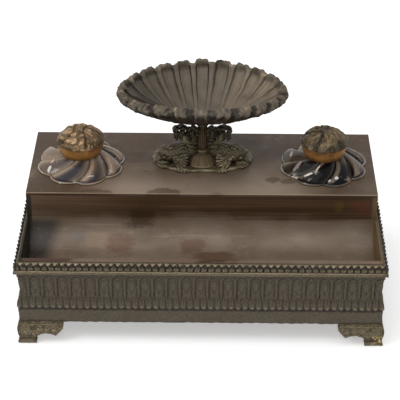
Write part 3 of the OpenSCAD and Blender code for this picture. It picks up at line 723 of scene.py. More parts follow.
def row(name, motif, count, pitch, material):
    """A plain mesh of `count` motifs side by side, centred on X = 0. The motif is used up."""
    modifier = motif.modifiers.new("row", "NODES")
    modifier.node_group = ROW
    ids = {s.name: s.identifier for s in ROW.interface.items_tree if s.in_out == "INPUT"}
    modifier[ids["Count"]] = count
    modifier[ids["Pitch"]] = pitch
    modifier[ids["Finish"]] = material
    bpy.context.view_layer.update()
    mesh = bpy.data.meshes.new_from_object(motif.evaluated_get(bpy.context.evaluated_depsgraph_get()))
    bpy.data.objects.remove(motif)
    mesh.transform(Matrix.Translation((-(count - 1) / 2 * pitch, 0, 0)))
    return linked(name, mesh)


def mitred(piece, length, face_y):
    """Cuts a row at 45 degrees through both corners and closes the cuts."""
    with edited(piece) as work:
        for side in (-1, 1):
            cut = bmesh.ops.bisect_plane(work, geom=work.verts[:] + work.edges[:] + work.faces[:], dist=1e-5,
                                         plane_co=Vector((side * length / 2, face_y, 0)),
                                         plane_no=Vector((side, 1, 0)), clear_outer=True)
            edges = [e for e in cut["geom_cut"] if isinstance(e, bmesh.types.BMEdge)]
            bmesh.ops.holes_fill(work, edges=edges)
    return piece


def turned(piece, angle):
    """Turns a piece to its side of the casing."""
    return moved(piece, Matrix.Rotation(math.radians(angle), 4, "Z"))


def wall_inset(t):
    """How far the wall lies behind the rim's face at a share t of its height."""
    hollow = 2.4 + 1.9 * np.sin(np.pi * np.clip((t - 0.44) / 0.56, 0, 1) ** 0.61)
    torus = 1.8 + 0.6 * np.abs(t - 0.36) / 0.08
    return np.where(t < 0.28, 2.7 - 1.2 * t, np.where(t < 0.44, torus, hollow))


def leaf_tips(x, z, half):
    """Two half leaves with a groove down the middle, whose round tips make a scalloped edge."""
    tip_x = np.abs(x) - half / 2
    leaf_x = tip_x + 0.9 * np.sin((z - 16) / 11 * math.pi) * np.sign(x) * 0.35
    above = np.clip(1 - (np.clip(z - 19, 0, None) / 10.5) ** 1.5, 0, 1)
    below = np.clip(1 - (np.clip(19 - z, 0, None) / 3.6) ** 2, 0, 1)
    wide = 2.85 * np.sqrt(above) * np.sqrt(below)
    across = np.clip(np.abs(leaf_x) / np.maximum(wide, 0.01), 0, 1)
    leaf = 0.35 + 0.6 * (1 - across ** 2) * (1 - 0.55 * ease(z, 18, 27))
    leaf = leaf - 0.45 * bell(leaf_x, 0.42) * ease(z, 17.5, 20)
    curl = 0.5 * cap(np.hypot(leaf_x / 1.7, (z - 17.6) / 1.3))
    low_edge = 0.32 * bell(z - 14.2 - 0.5 * np.cos(tip_x * 2.1), 0.5)
    return np.maximum(np.where((wide > 0.05) & (across < 1), leaf, 0) + curl, low_edge)


def bay_relief(x, z, half):
    """The relief of one bay: an arch with a bud in it, over a row of leaf tips."""
    from_arch = np.where(z > ARCH_SPRING, np.hypot(x, z - ARCH_SPRING), np.abs(x)) - half + 0.35
    foot = ease(z, 24, 29)
    arch = 0.8 * bell(from_arch, 0.5) * foot
    groove = 0.5 * bell(from_arch + 1.3, 0.5) * (0.5 + 0.5 * (x < 0)) * foot
    bud = 0.75 * cap(np.hypot(x / 2.3, (z - 39) / 5.6))
    bud = bud - 0.5 * bell(x + 0.2, 0.4) * (1 - ease(z, 42, 45)) * (bud > 0.1)
    knob = 0.6 * cap(np.hypot(x, z - 47.6) / 1.3)
    left, right = (0.6 * cap(np.hypot((x - lean * (1.0 + (z - 27) * 0.28)) / 1.1, (z - 31.5) / 5))
                   for lean in (-1, 1))
    behind_x = np.minimum(np.abs(x), np.abs(np.abs(x) - half))
    behind = 0.4 * cap(np.hypot(behind_x / 1.4, (z - 24.5) / 6.0))
    lip = 0.5 * bell(z - 52.9, 0.5)
    height = np.maximum.reduce([arch, bud, knob, left, right, leaf_tips(x, z, half), behind, lip,
                                np.zeros_like(x)])
    return height - groove * (height < 0.75)


def frieze(side):
    """One wall of the casing: a plain band under a row of bays, mitred at its corners."""
    angle, length, depth = SIDES[side]
    count = round(length / BAY)
    pitch = length / count
    xs = np.linspace(-pitch / 2, pitch / 2, 31)
    zs = np.concatenate([np.linspace(0, WALL_BAND, 5), np.linspace(WALL_BAND + 0.6, WALL_H, 90)])
    x, z = np.meshgrid(xs, zs)
    height = bay_relief(x, z, pitch / 2) * ease(z, 12.6, 13.6)
    inset = wall_inset(z / WALL_H) - 0.75 * height + 0.2 * ease(z, 13.2, 14.4)
    front = np.stack([x, np.maximum(inset, 0.15) - depth / 2, z + FOOT_H], -1)
    tone = np.where(z < 13, 0.52, 0.28 + 0.5 * height)
    tone = tone - ease(z, 13, 14.5) * (1 - ease(z, 24, 30)) * (0.42 - 0.42 * height)
    bay = backed("bay", front, tone, WALL_IN - depth / 2, 0.4)
    piece = mitred(row("frieze_" + side, bay, count + 2, pitch, FRIEZE), length, -depth / 2)
    return placed(turned(shaken(shaken(piece, 30, 0.1, 5), 7, 0.16, 21), angle), "stand", "relief_bronze",
                  "wall_" + side)


def crest_leaf(pitch, face_y):
    """One leaf of the crest: a swelling tongue with a rib, whose tip bends over."""
    rows, cols = 12, 9
    t = np.linspace(0, 1, rows)[:, None]
    s = np.linspace(-1, 1, cols)[None, :]
    taper = np.clip(1 - (np.clip(t - 0.45, 0, 1) / 0.58) ** 1.8, 0.03, 1)
    wide = pitch * 0.49 * taper * np.clip(0.35 + t / 0.2, 0, 1)
    out = 1.3 * (1 - s ** 2) ** 0.6 - 0.4 * bell(s, 0.16) * (t < 0.6)
    out = out * (1 - 0.3 * t) + 0.5 * ease(t, 0.6, 0.9)
    lean = 0.8 * ease(t, 0.5, 1)
    points = np.stack([s * wide + lean, face_y + 1.85 - out, RIM_BASE + LEAF_LOW + t * LEAF_H + 0 * s], -1)
    leaf = mesh_piece("crest_leaf", points, grid_faces(rows, cols))
    # The bent-over tip is painted dark, as painted shade
    tip = ease(t, 0.44, 0.6)
    egg = (0.05 + 0.55 * (1 - s ** 2) - 0.3 * bell(s, 0.2)) * ease(t, 0.0, 0.2)
    relief(leaf, egg * (1 - tip) + 0.02 * tip)
    with edited(leaf) as work:
        for made in bmesh.ops.extrude_edge_only(work, edges=open_edges(work))["geom"]:
            if isinstance(made, bmesh.types.BMVert):
                made.co.y = face_y + 2.6
        bmesh.ops.holes_fill(work, edges=open_edges(work))
    return leaf


def crest(side):
    """One side's rim: its moulding and the row of leaves that stands in it."""
    angle, length, depth = SIDES[side]
    count = round(length / CREST_LEAF)
    leaves = row("crest_" + side, crest_leaf(length / count, -depth / 2), count, length / count, CREST)
    top = 0.9 if side == "front" else 0.3
    # The moulding's outline: how far behind the face, how high over the rim's foot, and its tone
    outline = ((0.3, 0.0, 0.4), (0.0, 0.3, 0.5), (0.0, 2.5, 0.55), (0.35, 3.1, 0.9), (1.0, 3.4, 0.6),
               (1.9, 3.4, 0.05), (2.0, 4.0, 0.02), (2.0, 8.2, 0.1), (2.2, 8.8, top), (3.0, 9.9, top),
               (3.6, 10.6, 0.4), (RIM_W, 10.8, 0.3), (RIM_W, 0.0, 0.3))
    places = np.linspace(-length / 2 - 2, length / 2 + 2, 40)
    rings = [[(x, y - depth / 2, z + RIM_BASE) for y, z, _ in outline] for x in places]
    tones = [[tone for _, _, tone in outline]] * len(places)
    strip = mitred(tidied(loft("strip", rings, CREST, tones)), length, -depth / 2)
    whole = shaken(shaken(joined("rim_and_crest_" + side, [strip, leaves]), 20, 0.09, 8), 6, 0.2, 31)
    return placed(turned(whole, angle), "stand", "relief_bronze", "rim_" + side)


for side in SIDES:
    frieze(side)
    crest(side)


# ---------- bracket feet ----------

# Scrolls on a foot's face: x, z and radius
FOOT_SCROLLS = ((7.5, 14.5, 6.0), (15.5, 12.0, 4.2), (20, 17, 3.6), (27, 16.6, 3.4), (33.5, 15.8, 3.0))
# A foot's profile: height, and how far it lies behind the corner's face
FOOT_PROFILE = ((0, 1.9), (0.5, 1.0), (1.4, 0.5), (2.6, 0.3), (3.8, 0.6), (4.7, 1.7), (5.3, 2.4), (5.9, 1.8),
                (8, 1.2), (12, 0.3), (15.5, 0), (19, 0.3), (21.6, 1.2), (22.6, 1.2), (FOOT_H, 2.2))


def foot_bottom(x):
    """Height of a foot's lower edge at x along its wall."""
    arch = 8.8 + 2.8 * np.sin(np.pi * np.clip((x - PAD_L - 1) / (34 - PAD_L), 0, 1))
    slant = 8.8 + 8.4 * np.clip((x - FOOT_L + 7) / 6.5, 0, 1)
    pad = 2.0 - cap(np.clip(1 - x / 1.5, 0, 1)) - cap(np.clip(1 - (PAD_L - x) / 1.5, 0, 1))
    return np.where(x < PAD_L, pad, np.where(x < 35, arch, slant))


def foot_relief(x, z):
    """Scrolls and leaves on the foot's face, over a rolled pad."""
    scroll = 0.0
    for cx, cz, r in FOOT_SCROLLS:
        d = np.hypot(x - cx, z - cz)
        turn = np.arctan2(z - cz, x - cx)
        scroll = np.maximum(scroll, (0.5 + 0.5 * np.cos(d * 2.6 - turn)) * cap(np.clip(d / r, 0, 1)))
        scroll = np.maximum(scroll, 0.9 * cap(np.clip(d / 1.1, 0, 1)))
    over = z - foot_bottom(x)
    body = scroll * ease(z, 6.6, 8) * (1 - ease(z, 19.5, 20.8)) * ease(over, 2.0, 3.0)
    ribs = (0.5 + 0.5 * np.cos((x * 0.8 + z * 0.5) * 1.9)) * ease(x, 30, 36) * 0.5
    edge = 0.7 * bell(z - 21.3, 0.5)
    under = 0.7 * bell(over - 1.6, 0.45) * (x > PAD_L + 0.5)
    pad = 0.6 * (bell(z - 6.6, 0.5) + 0.8 * bell(z - 2.4, 1.4)) * (x < PAD_L)
    return np.maximum.reduce([body, ribs * (1 - ease(z, 19, 20.5)), edge, under, pad])


def cheek(name):
    """One cheek of a foot, its corner at the origin, running along X and facing -Y."""
    xs = np.concatenate([np.linspace(0, 2, 8), np.linspace(2.6, PAD_L - 2, 26),
                         np.linspace(PAD_L - 1.6, PAD_L - 0.01, 8), [PAD_L + 0.01],
                         np.linspace(PAD_L + 0.5, FOOT_L, 46)])
    low = foot_bottom(xs)
    z = low + (FOOT_H - low) * np.linspace(0, 1, 44)[:, None]
    inset = np.interp(z, *zip(*FOOT_PROFILE))
    x = inset * (1 - xs / FOOT_L) + xs
    height = foot_relief(x, z)
    front = np.stack([x, np.maximum(inset + 0.45 - 0.7 * height * ease(x, 0.5, 2.5), 0.05), z], -1)
    tone = 0.22 + 0.62 * height - 0.4 * bell(z - 5.3, 0.5)
    piece = backed(name, front, tone, CHEEK, 0.35, CHEEK, FOOT)
    with edited(piece) as work:
        bmesh.ops.remove_doubles(work, verts=work.verts, dist=1e-4)
        bmesh.ops.holes_fill(work, edges=open_edges(work))
    return piece


def web(name):
    """The flat plate inside a foot that takes the screw, with softened edges."""
    near, far, cut = WEB_NEAR, WEB_FAR, WEB_FAR * 0.55
    outline = ((near, near), (far, near), (far, cut), (cut, far), (near, far))
    low = FOOT_H - WEB
    rings = [[(near + (x - near) * s, near + (y - near) * s, z) for x, y in outline]
             for s, z in ((0.97, low), (1, low + 0.6), (1, FOOT_H - 0.3), (0.99, FOOT_H))]
    return loft(name, rings, FOOT, 0.4)


def foot(corner, sx, sy):
    """Two cheeks and the web between them, mirrored to a corner of the casing."""
    swap_xy = Matrix(((0, 1, 0, 0), (1, 0, 0, 0), (0, 0, 1, 0), (0, 0, 0, 1)))
    parts = [cheek("cheek_along"), moved(cheek("cheek_across"), swap_xy), web("web")]
    piece = moved(joined("bracket_foot_" + corner, parts), Matrix.Translation((-CASE_W / 2, -CASE_D / 2, 0)))
    moved(piece, Matrix.Diagonal((sx, sy, 1, 1)))
    crumpled(shaken(piece, 9, 0.12, 17), 3.2, 0.35, 3, 0.4)
    return placed(piece, "stand", "relief_bronze", "foot_" + corner)


for corner, sx, sy in (("front_left", 1, 1), ("front_right", -1, 1), ("back_left", 1, -1),
                       ("back_right", -1, -1)):
    foot(corner, sx, sy)


# ---------- oval shell dish ----------

# The lip from the leaves under it to its inner face: share of the way out, drop below the top, part,
# and how much it follows the roll
DISH_LIP = ((0.885, 11.4, "leaf", 0), (0.91, 10.6, "leaf", 0), (0.942, 9.4, "leaf", 0),
            (0.967, 7.9, "leaf", 0), (0.982, 6.2, "leaf", 0), (0.989, 4.9, "leaf", 0),
            (0.987, 3.4, "leaf", 0.1), (0.978, 2.2, "edge", 0.3), (0.966, 1.2, "edge", 0.55),
            (0.950, 0.5, "edge", 0.8), (0.934, 0.6, "edge", 1), (0.917, 2.0, "edge", 1),
            (0.904, 4.6, "inner", 1))


def bowl_under(r):
    """Height of the bowl's underside at a share r of the way out."""
    return DISH_FOOT + (DISH_TOP - LIP_H - DISH_FOOT) * r ** 1.6


def rolled(a):
    """How far the lip rolls outward round the dish: most at the front."""
    return ease(-np.sin(a), -0.3, 0.9)


def dish_path():
    """The dish in section, from the middle of its underside, round the lip, to the middle of its floor."""
    path = [(r, bowl_under(r) + 3.5 * ease(r, 0.5, 0.86), "under", 0) for r in np.linspace(0.1, 0.86, 14)]
    path += [(r, DISH_TOP - drop, part, share) for r, drop, part, share in DISH_LIP]
    return path + [(r, 0, "inner", ease(r, 0.5, 0.89)) for r in np.linspace(0.89, 0.08, 26)]


def dish_ring(a, r, z, part, share):
    """One ring of the dish: its points and the relief that they carry."""
    turn = a * FLUTES / (2 * math.pi) + 0.5 + 0.05 * np.sin(3 * a + 1) + 0.04 * np.sin(7 * a)
    near, rise = r, 0.0
    if part == "inner" and r < 0.9:
        near = 0.9 * (0.5 + 0.5 * r / 0.9)
        away = np.hypot(near * np.cos(a), r * np.sin(a))
        z = bowl_under(away) + 3 + 1.5 * away + 9 * away ** 5
    low = ease(DISH_TOP - z, 0, 8) if part == "leaf" else 0
    across = np.mod(turn + 0.45 * np.cos(a) * low, 1) - 0.5
    lobe = 1 - ease(np.abs(across), 0.26, 0.36)
    lobe = lobe * (1 - 0.3 * bell(across, 0.09) * (part != "inner")) * (0.9 + 0.12 * np.sin(5 * a))
    strand = 0.5 + 0.5 * np.cos(across * 21 + np.sin(a * 4))
    deep = {"under": 0.3, "leaf": 1.0, "edge": 1.0, "inner": min(1.0, 1.15 * r ** 0.7)}[part]
    grow = 0.016 * deep * (2 * lobe - 1)
    # The bowl's underside is painted near-black, as painted shade
    if part == "under":
        tone = 0.02 + 0.12 * lobe
    elif part == "leaf":
        # The lip's leaves are painted lighter at their upper edges and dark underneath, as painted highlights
        # and painted shade
        upper = 0.12 + 0.66 * lobe * (0.3 + 0.7 * strand) - 0.3 * bell(across, 0.05)
        under = ease(low + 0.3 * (0.5 - lobe) + 0.1 * np.sin(a * 31), 0.6, 0.8)
        tone = upper * (1 - under) + (0.04 + 0.16 * strand * lobe) * under
        grow = grow + 0.016 * (lobe - 0.6) * ease(z, DISH_TOP - 9, DISH_TOP - 6)
    elif part == "edge":
        back = ease(np.sin(a), -0.1, 0.4)
        folded = 0.16 + 0.56 * lobe * (0.35 + 0.65 * strand)
        upright = 0.58 - 0.26 * lobe * (0.3 + 0.7 * strand)
        tone = folded * (1 - back) + upright * back + 0.30 * np.sin(a * 17) * np.sin(a * 5 + 1)
        rise = 2 * lobe - 1
    else:
        # The creases are painted darker, more on one side than the other, as painted shade
        crease = bell(across + 0.32, 0.035) + 0.7 * bell(across - 0.32, 0.035)
        rise = deep * (1.2 * (1 - lobe) - 1.8 * crease * (1 - 0.7 * ease(r, 0.78, 0.9)))
        curl = lobe * ease(r, 0.86, 0.90) * (0.5 + 0.5 * strand)
        # Painted shade on the left of the inside, and painted light on its right, as from a lamp at the upper
        # left
        shade = 0.2 * bell(a - math.pi * 1.05, 0.7) * ease(0.8 - r, 0, 0.25)
        shade = shade - 0.14 * ease(np.cos(a), 0.1, 0.7)
        streak = 0.5 + 0.5 * np.sin(across * 33 + 3 * np.sin(a * 9))
        tone = (0.42 + 0.08 * (1 - lobe) - 0.6 * crease * min(1, r * 1.4) + 0.14 * strand * lobe
                - 0.2 * curl - shade - 0.08 * streak + 0.12 * np.cos(a - 0.2))
    roll = 0.09 * share * rolled(a)
    x = DISH_A * (near + grow - 0.3 * roll) * np.cos(a)
    y = DISH_B * (r + 1.35 * grow - roll) * np.sin(a) + STEM_Y
    height = DECK_Z + z + rise - END_DIP * (near * np.cos(a)) ** 2
    return np.stack([x, y, height], -1), np.clip(tone, 0, 1)


def shell_dish():
    """The fluted bowl with its crumpled lip."""
    a = angles(FLUTES * 22)
    rings, level = zip(*(dish_ring(a, *place) for place in dish_path()))
    return shaken(shaken(loft("shell_dish", rings, DISH, level), 45, 0.5, 3), 9, 0.3, 14)


def on_lip(points):
    """How much a point belongs to the dish's lip and its underside."""
    x = points[:, 0] / DISH_A
    y = (points[:, 1] - STEM_Y) / DISH_B
    return ease(np.hypot(x, y) + 0.08 * rolled(np.arctan2(y, x)), 0.9, 0.96)


placed(crumpled(tidied(shell_dish()), 5.5, 1.1, 6, 0.35, on_lip), "stand", "patinated_bronze", "dish")


# ---------- column, cup and foot under the dish ----------

def turned_ring(name, outline, material, lobes=0, centre=(0, STEM_Y), n=144):
    """A turned piece. Its outline gives radius, height over the deck, depth of the lobes and tone."""
    wave = np.abs(np.sin(angles(n) * lobes / 2)) ** 0.7 if lobes else np.ones(n)
    rings = [circle(r * (1 - depth * (1 - wave)), z, n) for r, z, depth, tone in outline]
    level = [tone * (0.35 + 0.65 * wave) for r, z, depth, tone in outline]
    return loft(name, np.array(rings) + (*centre, DECK_Z), material, level, outline[0][:2] != outline[-1][:2])


shaft = [(3.6, COLUMN_LOW, 0, 0.6), (5.0, COLUMN_LOW + 0.5, 0, 0.9), (5.0, COLUMN_LOW + 1.5, 0, 0.7),
         (4.8, COLUMN_LOW + 2.2, 0.2, 0.9), (4.7, COLUMN_TOP - 3, 0.2, 0.9), (4.7, COLUMN_TOP - 2, 0.1, 0.7),
         (4.4, COLUMN_TOP - 1.2, 0, 0.7), (4.4, COLUMN_TOP - 0.2, 0, 0.8), (4.0, COLUMN_TOP, 0, 0.5)]
placed(turned_ring("fluted_column", shaft, SHAFT, 12), "stand", "relief_bronze", "column")
cup = [(r, COLUMN_TOP + up, depth, tone) for r, up, depth, tone in (
    (4.0, 0, 0, 0.2), (5.6, 0.3, 0.1, 0.4), (6.0, 1.2, 0.1, 0.5), (5.0, 2.2, 0.15, 0.2),
    (5.6, 3.2, 0.25, 0.3), (CUP_R - 1.2, 4.4, 0.3, 0.4), (CUP_R - 0.4, 5.6, 0.3, 0.5),
    (CUP_R - 0.1, 6.4, 0.25, 0.5), (CUP_R - 0.8, 6.95, 0.2, 0.3), (4, 7, 0, 0.2))]
placed(turned_ring("leaf_cup_of_the_dish", cup, FIGURE, 8), "stand", "relief_bronze", "leaf_cup")


def apron():
    """The bell under the column: a round ring above a draped skirt that reaches to the front and back."""
    n = 192
    a = angles(n)
    pleat = np.abs(np.cos(a * 8)) ** 0.6
    rings, level = [], []
    # Half width, half depth, height, and how square the ring is
    for wide, deep, z, square in ((10, 20, 3.0, 0.6), (12.6, 23.2, 3.05, 0.6), (12.8, 23.4, 3.6, 0.6),
                                  (12.2, 21.6, 4.4, 0.65), (11.4, 18.0, 5.4, 0.7), (10.6, 14.6, 6.5, 0.75),
                                  (9.4, 11.2, 7.8, 0.85), (7.6, 8.2, 9.2, 1), (6.3, 6.4, 10.0, 1),
                                  (6.9, 6.9, 10.5, 1), (7.3, 7.3, 11.3, 1), (7.2, 7.2, 11.9, 1),
                                  (6.3, 6.3, 12.4, 1), (3.6, 3.6, 12.5, 1)):
        fold = ease(z, 3.4, 4.2) * (1 - ease(z, 8.5, 9.8))
        x = (wide - 0.5 * fold * (1 - pleat)) * blunt(np.cos(a), square)
        y = (deep - 1.1 * fold * (1 - pleat)) * blunt(np.sin(a), square)
        rings.append(np.stack([x, y + STEM_Y, np.full(n, DECK_Z + z)], -1))
        bead = 0.3 * (10.2 < z < 12.2) - 0.4 * (9.0 < z < 10.2)
        level.append(np.clip(0.6 + 0.3 * fold * (pleat - 0.6) + bead, 0, 1))
    return loft("apron_under_the_column", rings, APRON, level)


placed(apron(), "stand", "relief_bronze", "bell_foot")


# ---------- base plate and dolphins ----------

def base_plate():
    """A blunt oval plate with a rough top like water, and a scalloped, rolled rim."""
    n = 220
    a = angles(n)
    edge = np.stack([(BASE_A - 0.6) * blunt(np.cos(a), 0.86), (BASE_B - 1.2) * blunt(np.sin(a), 0.86)], -1)
    rings, level = [], []
    for s, z in ((0.05, 0.0), (0.96, 0.0), (0.99, 0.4), (1.0, 1.2), (0.99, 2.2), (0.965, 2.9), (0.93, 2.95),
                 (0.90, 2.4), (0.86, 2.2), (0.78, 2.4), (0.68, 2.5), (0.55, 2.6), (0.35, 2.7), (0.05, 2.8)):
        wave = 0.35 * np.sin(a * 13 + s * 9) + 0.3 * np.sin(a * 19 - s * 14) + 0.2 * np.sin(a * 37 + s * 21)
        rough = ease(z, 2, 2.4) if 0.1 < s < 0.9 else 0.3 * (z > 1)
        scallop = 1 - 0.022 * np.abs(np.sin(a * 13)) * (z > 0.3)
        height = DECK_Z + z + wave * rough
        rings.append(np.concatenate([edge * s * scallop[:, None] + (0, STEM_Y), height[:, None]], -1))
        rim = 0.42 * (s > 0.92) * (z > 1) * np.abs(np.cos(a * 13))
        level.append(np.clip(0.53 + rim + wave * 0.5, 0, 1))
    return loft("base_plate", rings, FIGURE, level)


def fan_grid(ribs, inner):
    """Places along and across a fan, and how high its ribs stand across it."""
    t = np.linspace(-1, 1, ribs * 8 + 1)[None, :]
    return np.linspace(inner, 1, 12)[:, None], t, np.abs(np.cos(t * math.pi * ribs / 2)) ** 0.6


def fin_fan(name, root, aim, spread, length, ribs, thick, low):
    """A ribbed fan lying on a surface, from its root towards an angle."""
    s, t, rib = fan_grid(ribs, 0.12)
    angle = math.radians(aim) + math.radians(spread) / 2 * t
    reach = length * s * (0.86 + 0.14 * rib) * (1 - 0.12 * t ** 2)
    x = root[0] + reach * np.cos(angle)
    y = root[1] + reach * np.sin(angle)
    top = low + thick * (0.35 + 0.65 * rib * cap(s * 0.92)) * (1 - 0.25 * t ** 2)
    return two_sided(name, np.stack([x, y, top], -1), np.stack([x, y, np.full_like(x, low)], -1),
                     0.1 + 0.9 * rib, FIGURE)


plate_parts = [base_plate()]
for s in (-1, 1):
    plate_parts += [fin_fan("fan", (s * 15.5, STEM_Y - 14.5), -90 + s * 30, 96, 14.5, 7, 2.6, DECK_Z + 0.4),
                    fin_fan("leaf", (s * 30, STEM_Y - 12), -90 + s * 62, 60, 13.0, 4, 1.8, DECK_Z + 1.6)]
plate_parts.append(fin_fan("shell", (-1, STEM_Y - 20), -90, 70, 6.4, 4, 1.6, DECK_Z + 1.6))
placed(joined("base_plate_with_fans", plate_parts), "stand", "relief_bronze", "dish_base")


def swept(name, line, wide, high, level, side=(0, 1, 0), steps=24, sides=16, skin=None):
    """A body along a curve. Wide and high are its half sizes along the way, skin(t, a) swells it."""
    t = np.linspace(0, 1, steps)
    mid = curve(line, t)
    along = np.gradient(mid, axis=0)
    along /= np.linalg.norm(along, axis=1)[:, None]
    across = np.asarray(side, float) - along * (along @ np.asarray(side, float))[:, None]
    across /= np.linalg.norm(across, axis=1)[:, None]
    up = np.cross(across, along)
    a = angles(sides)
    grow = 1 + (skin(t[:, None], a[None, :]) if skin else 0)
    w, h = (np.interp(t, np.linspace(0, 1, len(half)), half)[:, None] * grow for half in (wide, high))
    rings = (mid[:, None] + (w * np.cos(a))[..., None] * across[:, None]
             + (h * np.sin(a))[..., None] * up[:, None])
    return tidied(loft(name, rings, FIGURE, level + (grow - 1) * 3))


def eye(y):
    """A small flattened ball at the side of a head."""
    sides = 10
    middle, radii = (36.6, y, 10.2), (1.4, 1.2, 1.4)
    lat = np.linspace(-math.pi / 2 + 0.15, math.pi / 2 - 0.15, sides // 2 + 1)
    rings = np.array([circle(np.cos(v), np.sin(v), sides) for v in lat])
    return loft("eye", rings * radii + middle, FIGURE, 1.0)


def scales(t, a):
    """Rows of scales along the back of a body."""
    around = np.cos(a * 8 + np.pi * np.mod(np.floor(t * 20), 2)) * np.sin(np.mod(t * 20, 1) * np.pi)
    return 0.07 * around * ease(t, 0.34, 0.42) * ease(np.sin(a), -0.3, 0.2)


def stripes(t, a):
    """Creases across the belly of a tail."""
    return 0.07 * np.cos(t * 46) * ease(t, 0.05, 0.15)


def folds(t, a):
    """Soft folds along a leaf of the tail."""
    return 0.12 * np.cos(a * 5 + t * 5) * ease(t, 0.1, 0.4)


def pectoral():
    """The ribbed fin that fans out from under a body, over the plate's front edge."""
    s, t, rib = fan_grid(7, 0.1)
    angle = math.radians(-158) + math.radians(38) * t
    reach = 17.0 * s * (0.88 + 0.12 * rib) * (1 - 0.1 * t ** 2)
    lift = 1.6 * rib * np.sin(s * 2.6) + 1.5 * s ** 2
    x = 29.5 + reach * np.cos(angle)
    down = reach * np.sin(angle)
    low = 1.2
    front = [x, -16.2 + 0.62 * down - 0.78 * lift, np.maximum(10.0 + 0.76 * down + 0.62 * lift, low)]
    rear = [x, -15.0 + 0.62 * down, np.maximum(9.0 + 0.76 * down, low)]
    return two_sided("fin", np.stack(front, -1), np.stack(rear, -1), 0.05 + 0.8 * rib, FIGURE)


# Leaves of a dolphin's fluke and fins: control points, half widths and tone
FLUKES = (
    ([[12.5, -1, 31.5], [16, -2, 35], [20.4, -2.5, 36.6], [23.4, -3, 35]], [1.8, 3.6, 4.2, 2.6], 0.22),
    ([[20.5, -3, 34], [24, -3.4, 36.4], [27, -3.6, 34.6], [25.6, -3.6, 30]], [2.0, 3.6, 3.8, 2.2], 0.22),
    ([[22.4, -4, 31], [25.6, -4.4, 30.6], [26.4, -4.6, 27], [23.8, -4.4, 23.6]], [2.0, 3.2, 3.2, 1.6], 0.2),
    ([[17, -5, 33], [20.8, -6, 32.4], [21.6, -6.4, 28], [19, -6, 23.4]], [2.0, 3.4, 3.4, 1.4], 0.2),
    ([[13, -4, 31], [15.8, -5, 30.6], [17, -5.4, 27], [14.8, -5, 23]], [1.8, 3.2, 3.2, 1.4], 0.18),
    ([[10.5, -5, 20], [14.6, -7, 22], [18.4, -8, 25], [17.8, -7.4, 30.5]], [1.2, 2.6, 2.6, 1.0], 0.9),
    ([[5.0, -4.6, 24], [8.2, -6.4, 27], [10.8, -6.4, 30], [8.8, -5, 33.4]], [1.2, 2.8, 2.8, 1.0], 0.2),
    ([[4.4, -3.4, 30], [4.8, -5.4, 34], [6.4, -6, 37], [10.6, -6, 38.6]], [2.2, 3.2, 3.2, 1.6], 0.12),
    ([[6, -5, 15], [9, -7.4, 18], [13, -8, 19.5], [15.8, -8, 16]], [1.2, 2.6, 2.6, 1.0], 0.5),
    ([[37, -8, 12], [34, -10, 19], [29, -10.6, 21], [26, -10, 16.6]], [1.6, 3.6, 3.8, 1.8], 0.45),
    ([[25, -9, 16], [22, -10, 20.5], [17.6, -10, 21], [15.4, -9, 16.4]], [1.6, 3.4, 3.4, 1.6], 0.4))


def dolphin():
    """The right-hand dolphin: head down at the plate's end, tail up by the column, a leafy fluke on top."""
    parts = [swept("body", [[40.5, -8, 8.6], [33, -9, 12.6], [16.5, -6, 12.2], [9.4, -3, 10.6]],
                   [3.0, 6.8, 8.0, 8.2, 8.3, 8.2, 8.0, 7.4, 6.6, 5.4],
                   [3.0, 6.6, 7.8, 8.0, 8.2, 8.0, 7.6, 7.0, 6.4, 5.2], 0.45, steps=48, sides=40, skin=scales),
             swept("gill", [[32.5, -16.5, 6], [31.2, -13.8, 17], [31.5, -4, 18.6], [32, 0, 12]],
                   [0.5, 1.2, 1.2, 0.5], [0.5, 1.3, 1.2, 0.5], 0.25, sides=10),
             swept("snout", [[38, -10, 8], [42, -12, 6.6], [44, -14, 4.4]], [3.2, 3.0, 1.6], [3.0, 2.4, 1.4],
                   0.5, steps=12),
             swept("lip", [[43, -6, 5.6], [45.4, -15, 4.2], [38, -19.4, 5.2], [32.5, -15.5, 5.6]],
                   [0.9, 1.3, 1.3, 1.0], [0.9, 1.2, 1.2, 0.8], 0.7, side=(0, 0, 1))]
    for y in (-15.6, -1.4):
        parts.append(eye(y))
        brow = [[39.4, y, 10.2], [38.4, y * 1.03 - 0.2, 13.8], [34, y, 13.6], [33, y, 10]]
        parts.append(swept("brow", brow, [0.6, 0.9, 0.9, 0.6], [0.6, 0.9, 0.9, 0.6], 0.1, sides=10))
    for x in (29.5, 25.1, 20.7, 16.3):
        curl = [[x, -14.2, 6.5], [x + 2.4, -15.8, 10.5], [x - 2.2, -15.2, 13], [x - 2.8, -14, 9.4]]
        parts.append(swept("curl", curl, [0.8, 1.3, 1.1, 0.5], [0.8, 1.2, 1.0, 0.5], 0.75,
                           steps=14, sides=10))
    parts.append(swept("tail", [[12.4, -3, 8], [7.8, -1, 16], [7.6, 0, 28], [14, -1, 33]],
                       [5.8, 5.4, 5.0, 4.6, 4.2, 3.8, 3.0], [5.6, 5.2, 4.8, 4.4, 4.0, 3.6, 2.8], 0.3,
                       steps=60, sides=28, skin=stripes))
    parts += [swept("fluke", line, wide, [w * 0.7 for w in wide], level, (0.3, 1, 0), 22, 22, folds)
              for line, wide, level in FLUKES]
    parts.append(pectoral())
    return parts


for side, s in (("left", -1), ("right", 1)):
    figure = joined("dolphin_figure_" + side, dolphin())
    moved(figure, Matrix.Translation((0, STEM_Y, DECK_Z)) @ Matrix.Diagonal((s, 1, 1, 1)))
    crumpled(shaken(figure, 6, 0.3, 11), 3.6, 0.9, 4, 0.45)
    placed(figure, "stand", "relief_bronze", "dolphin_" + side)


# ---------- inkwells ----------

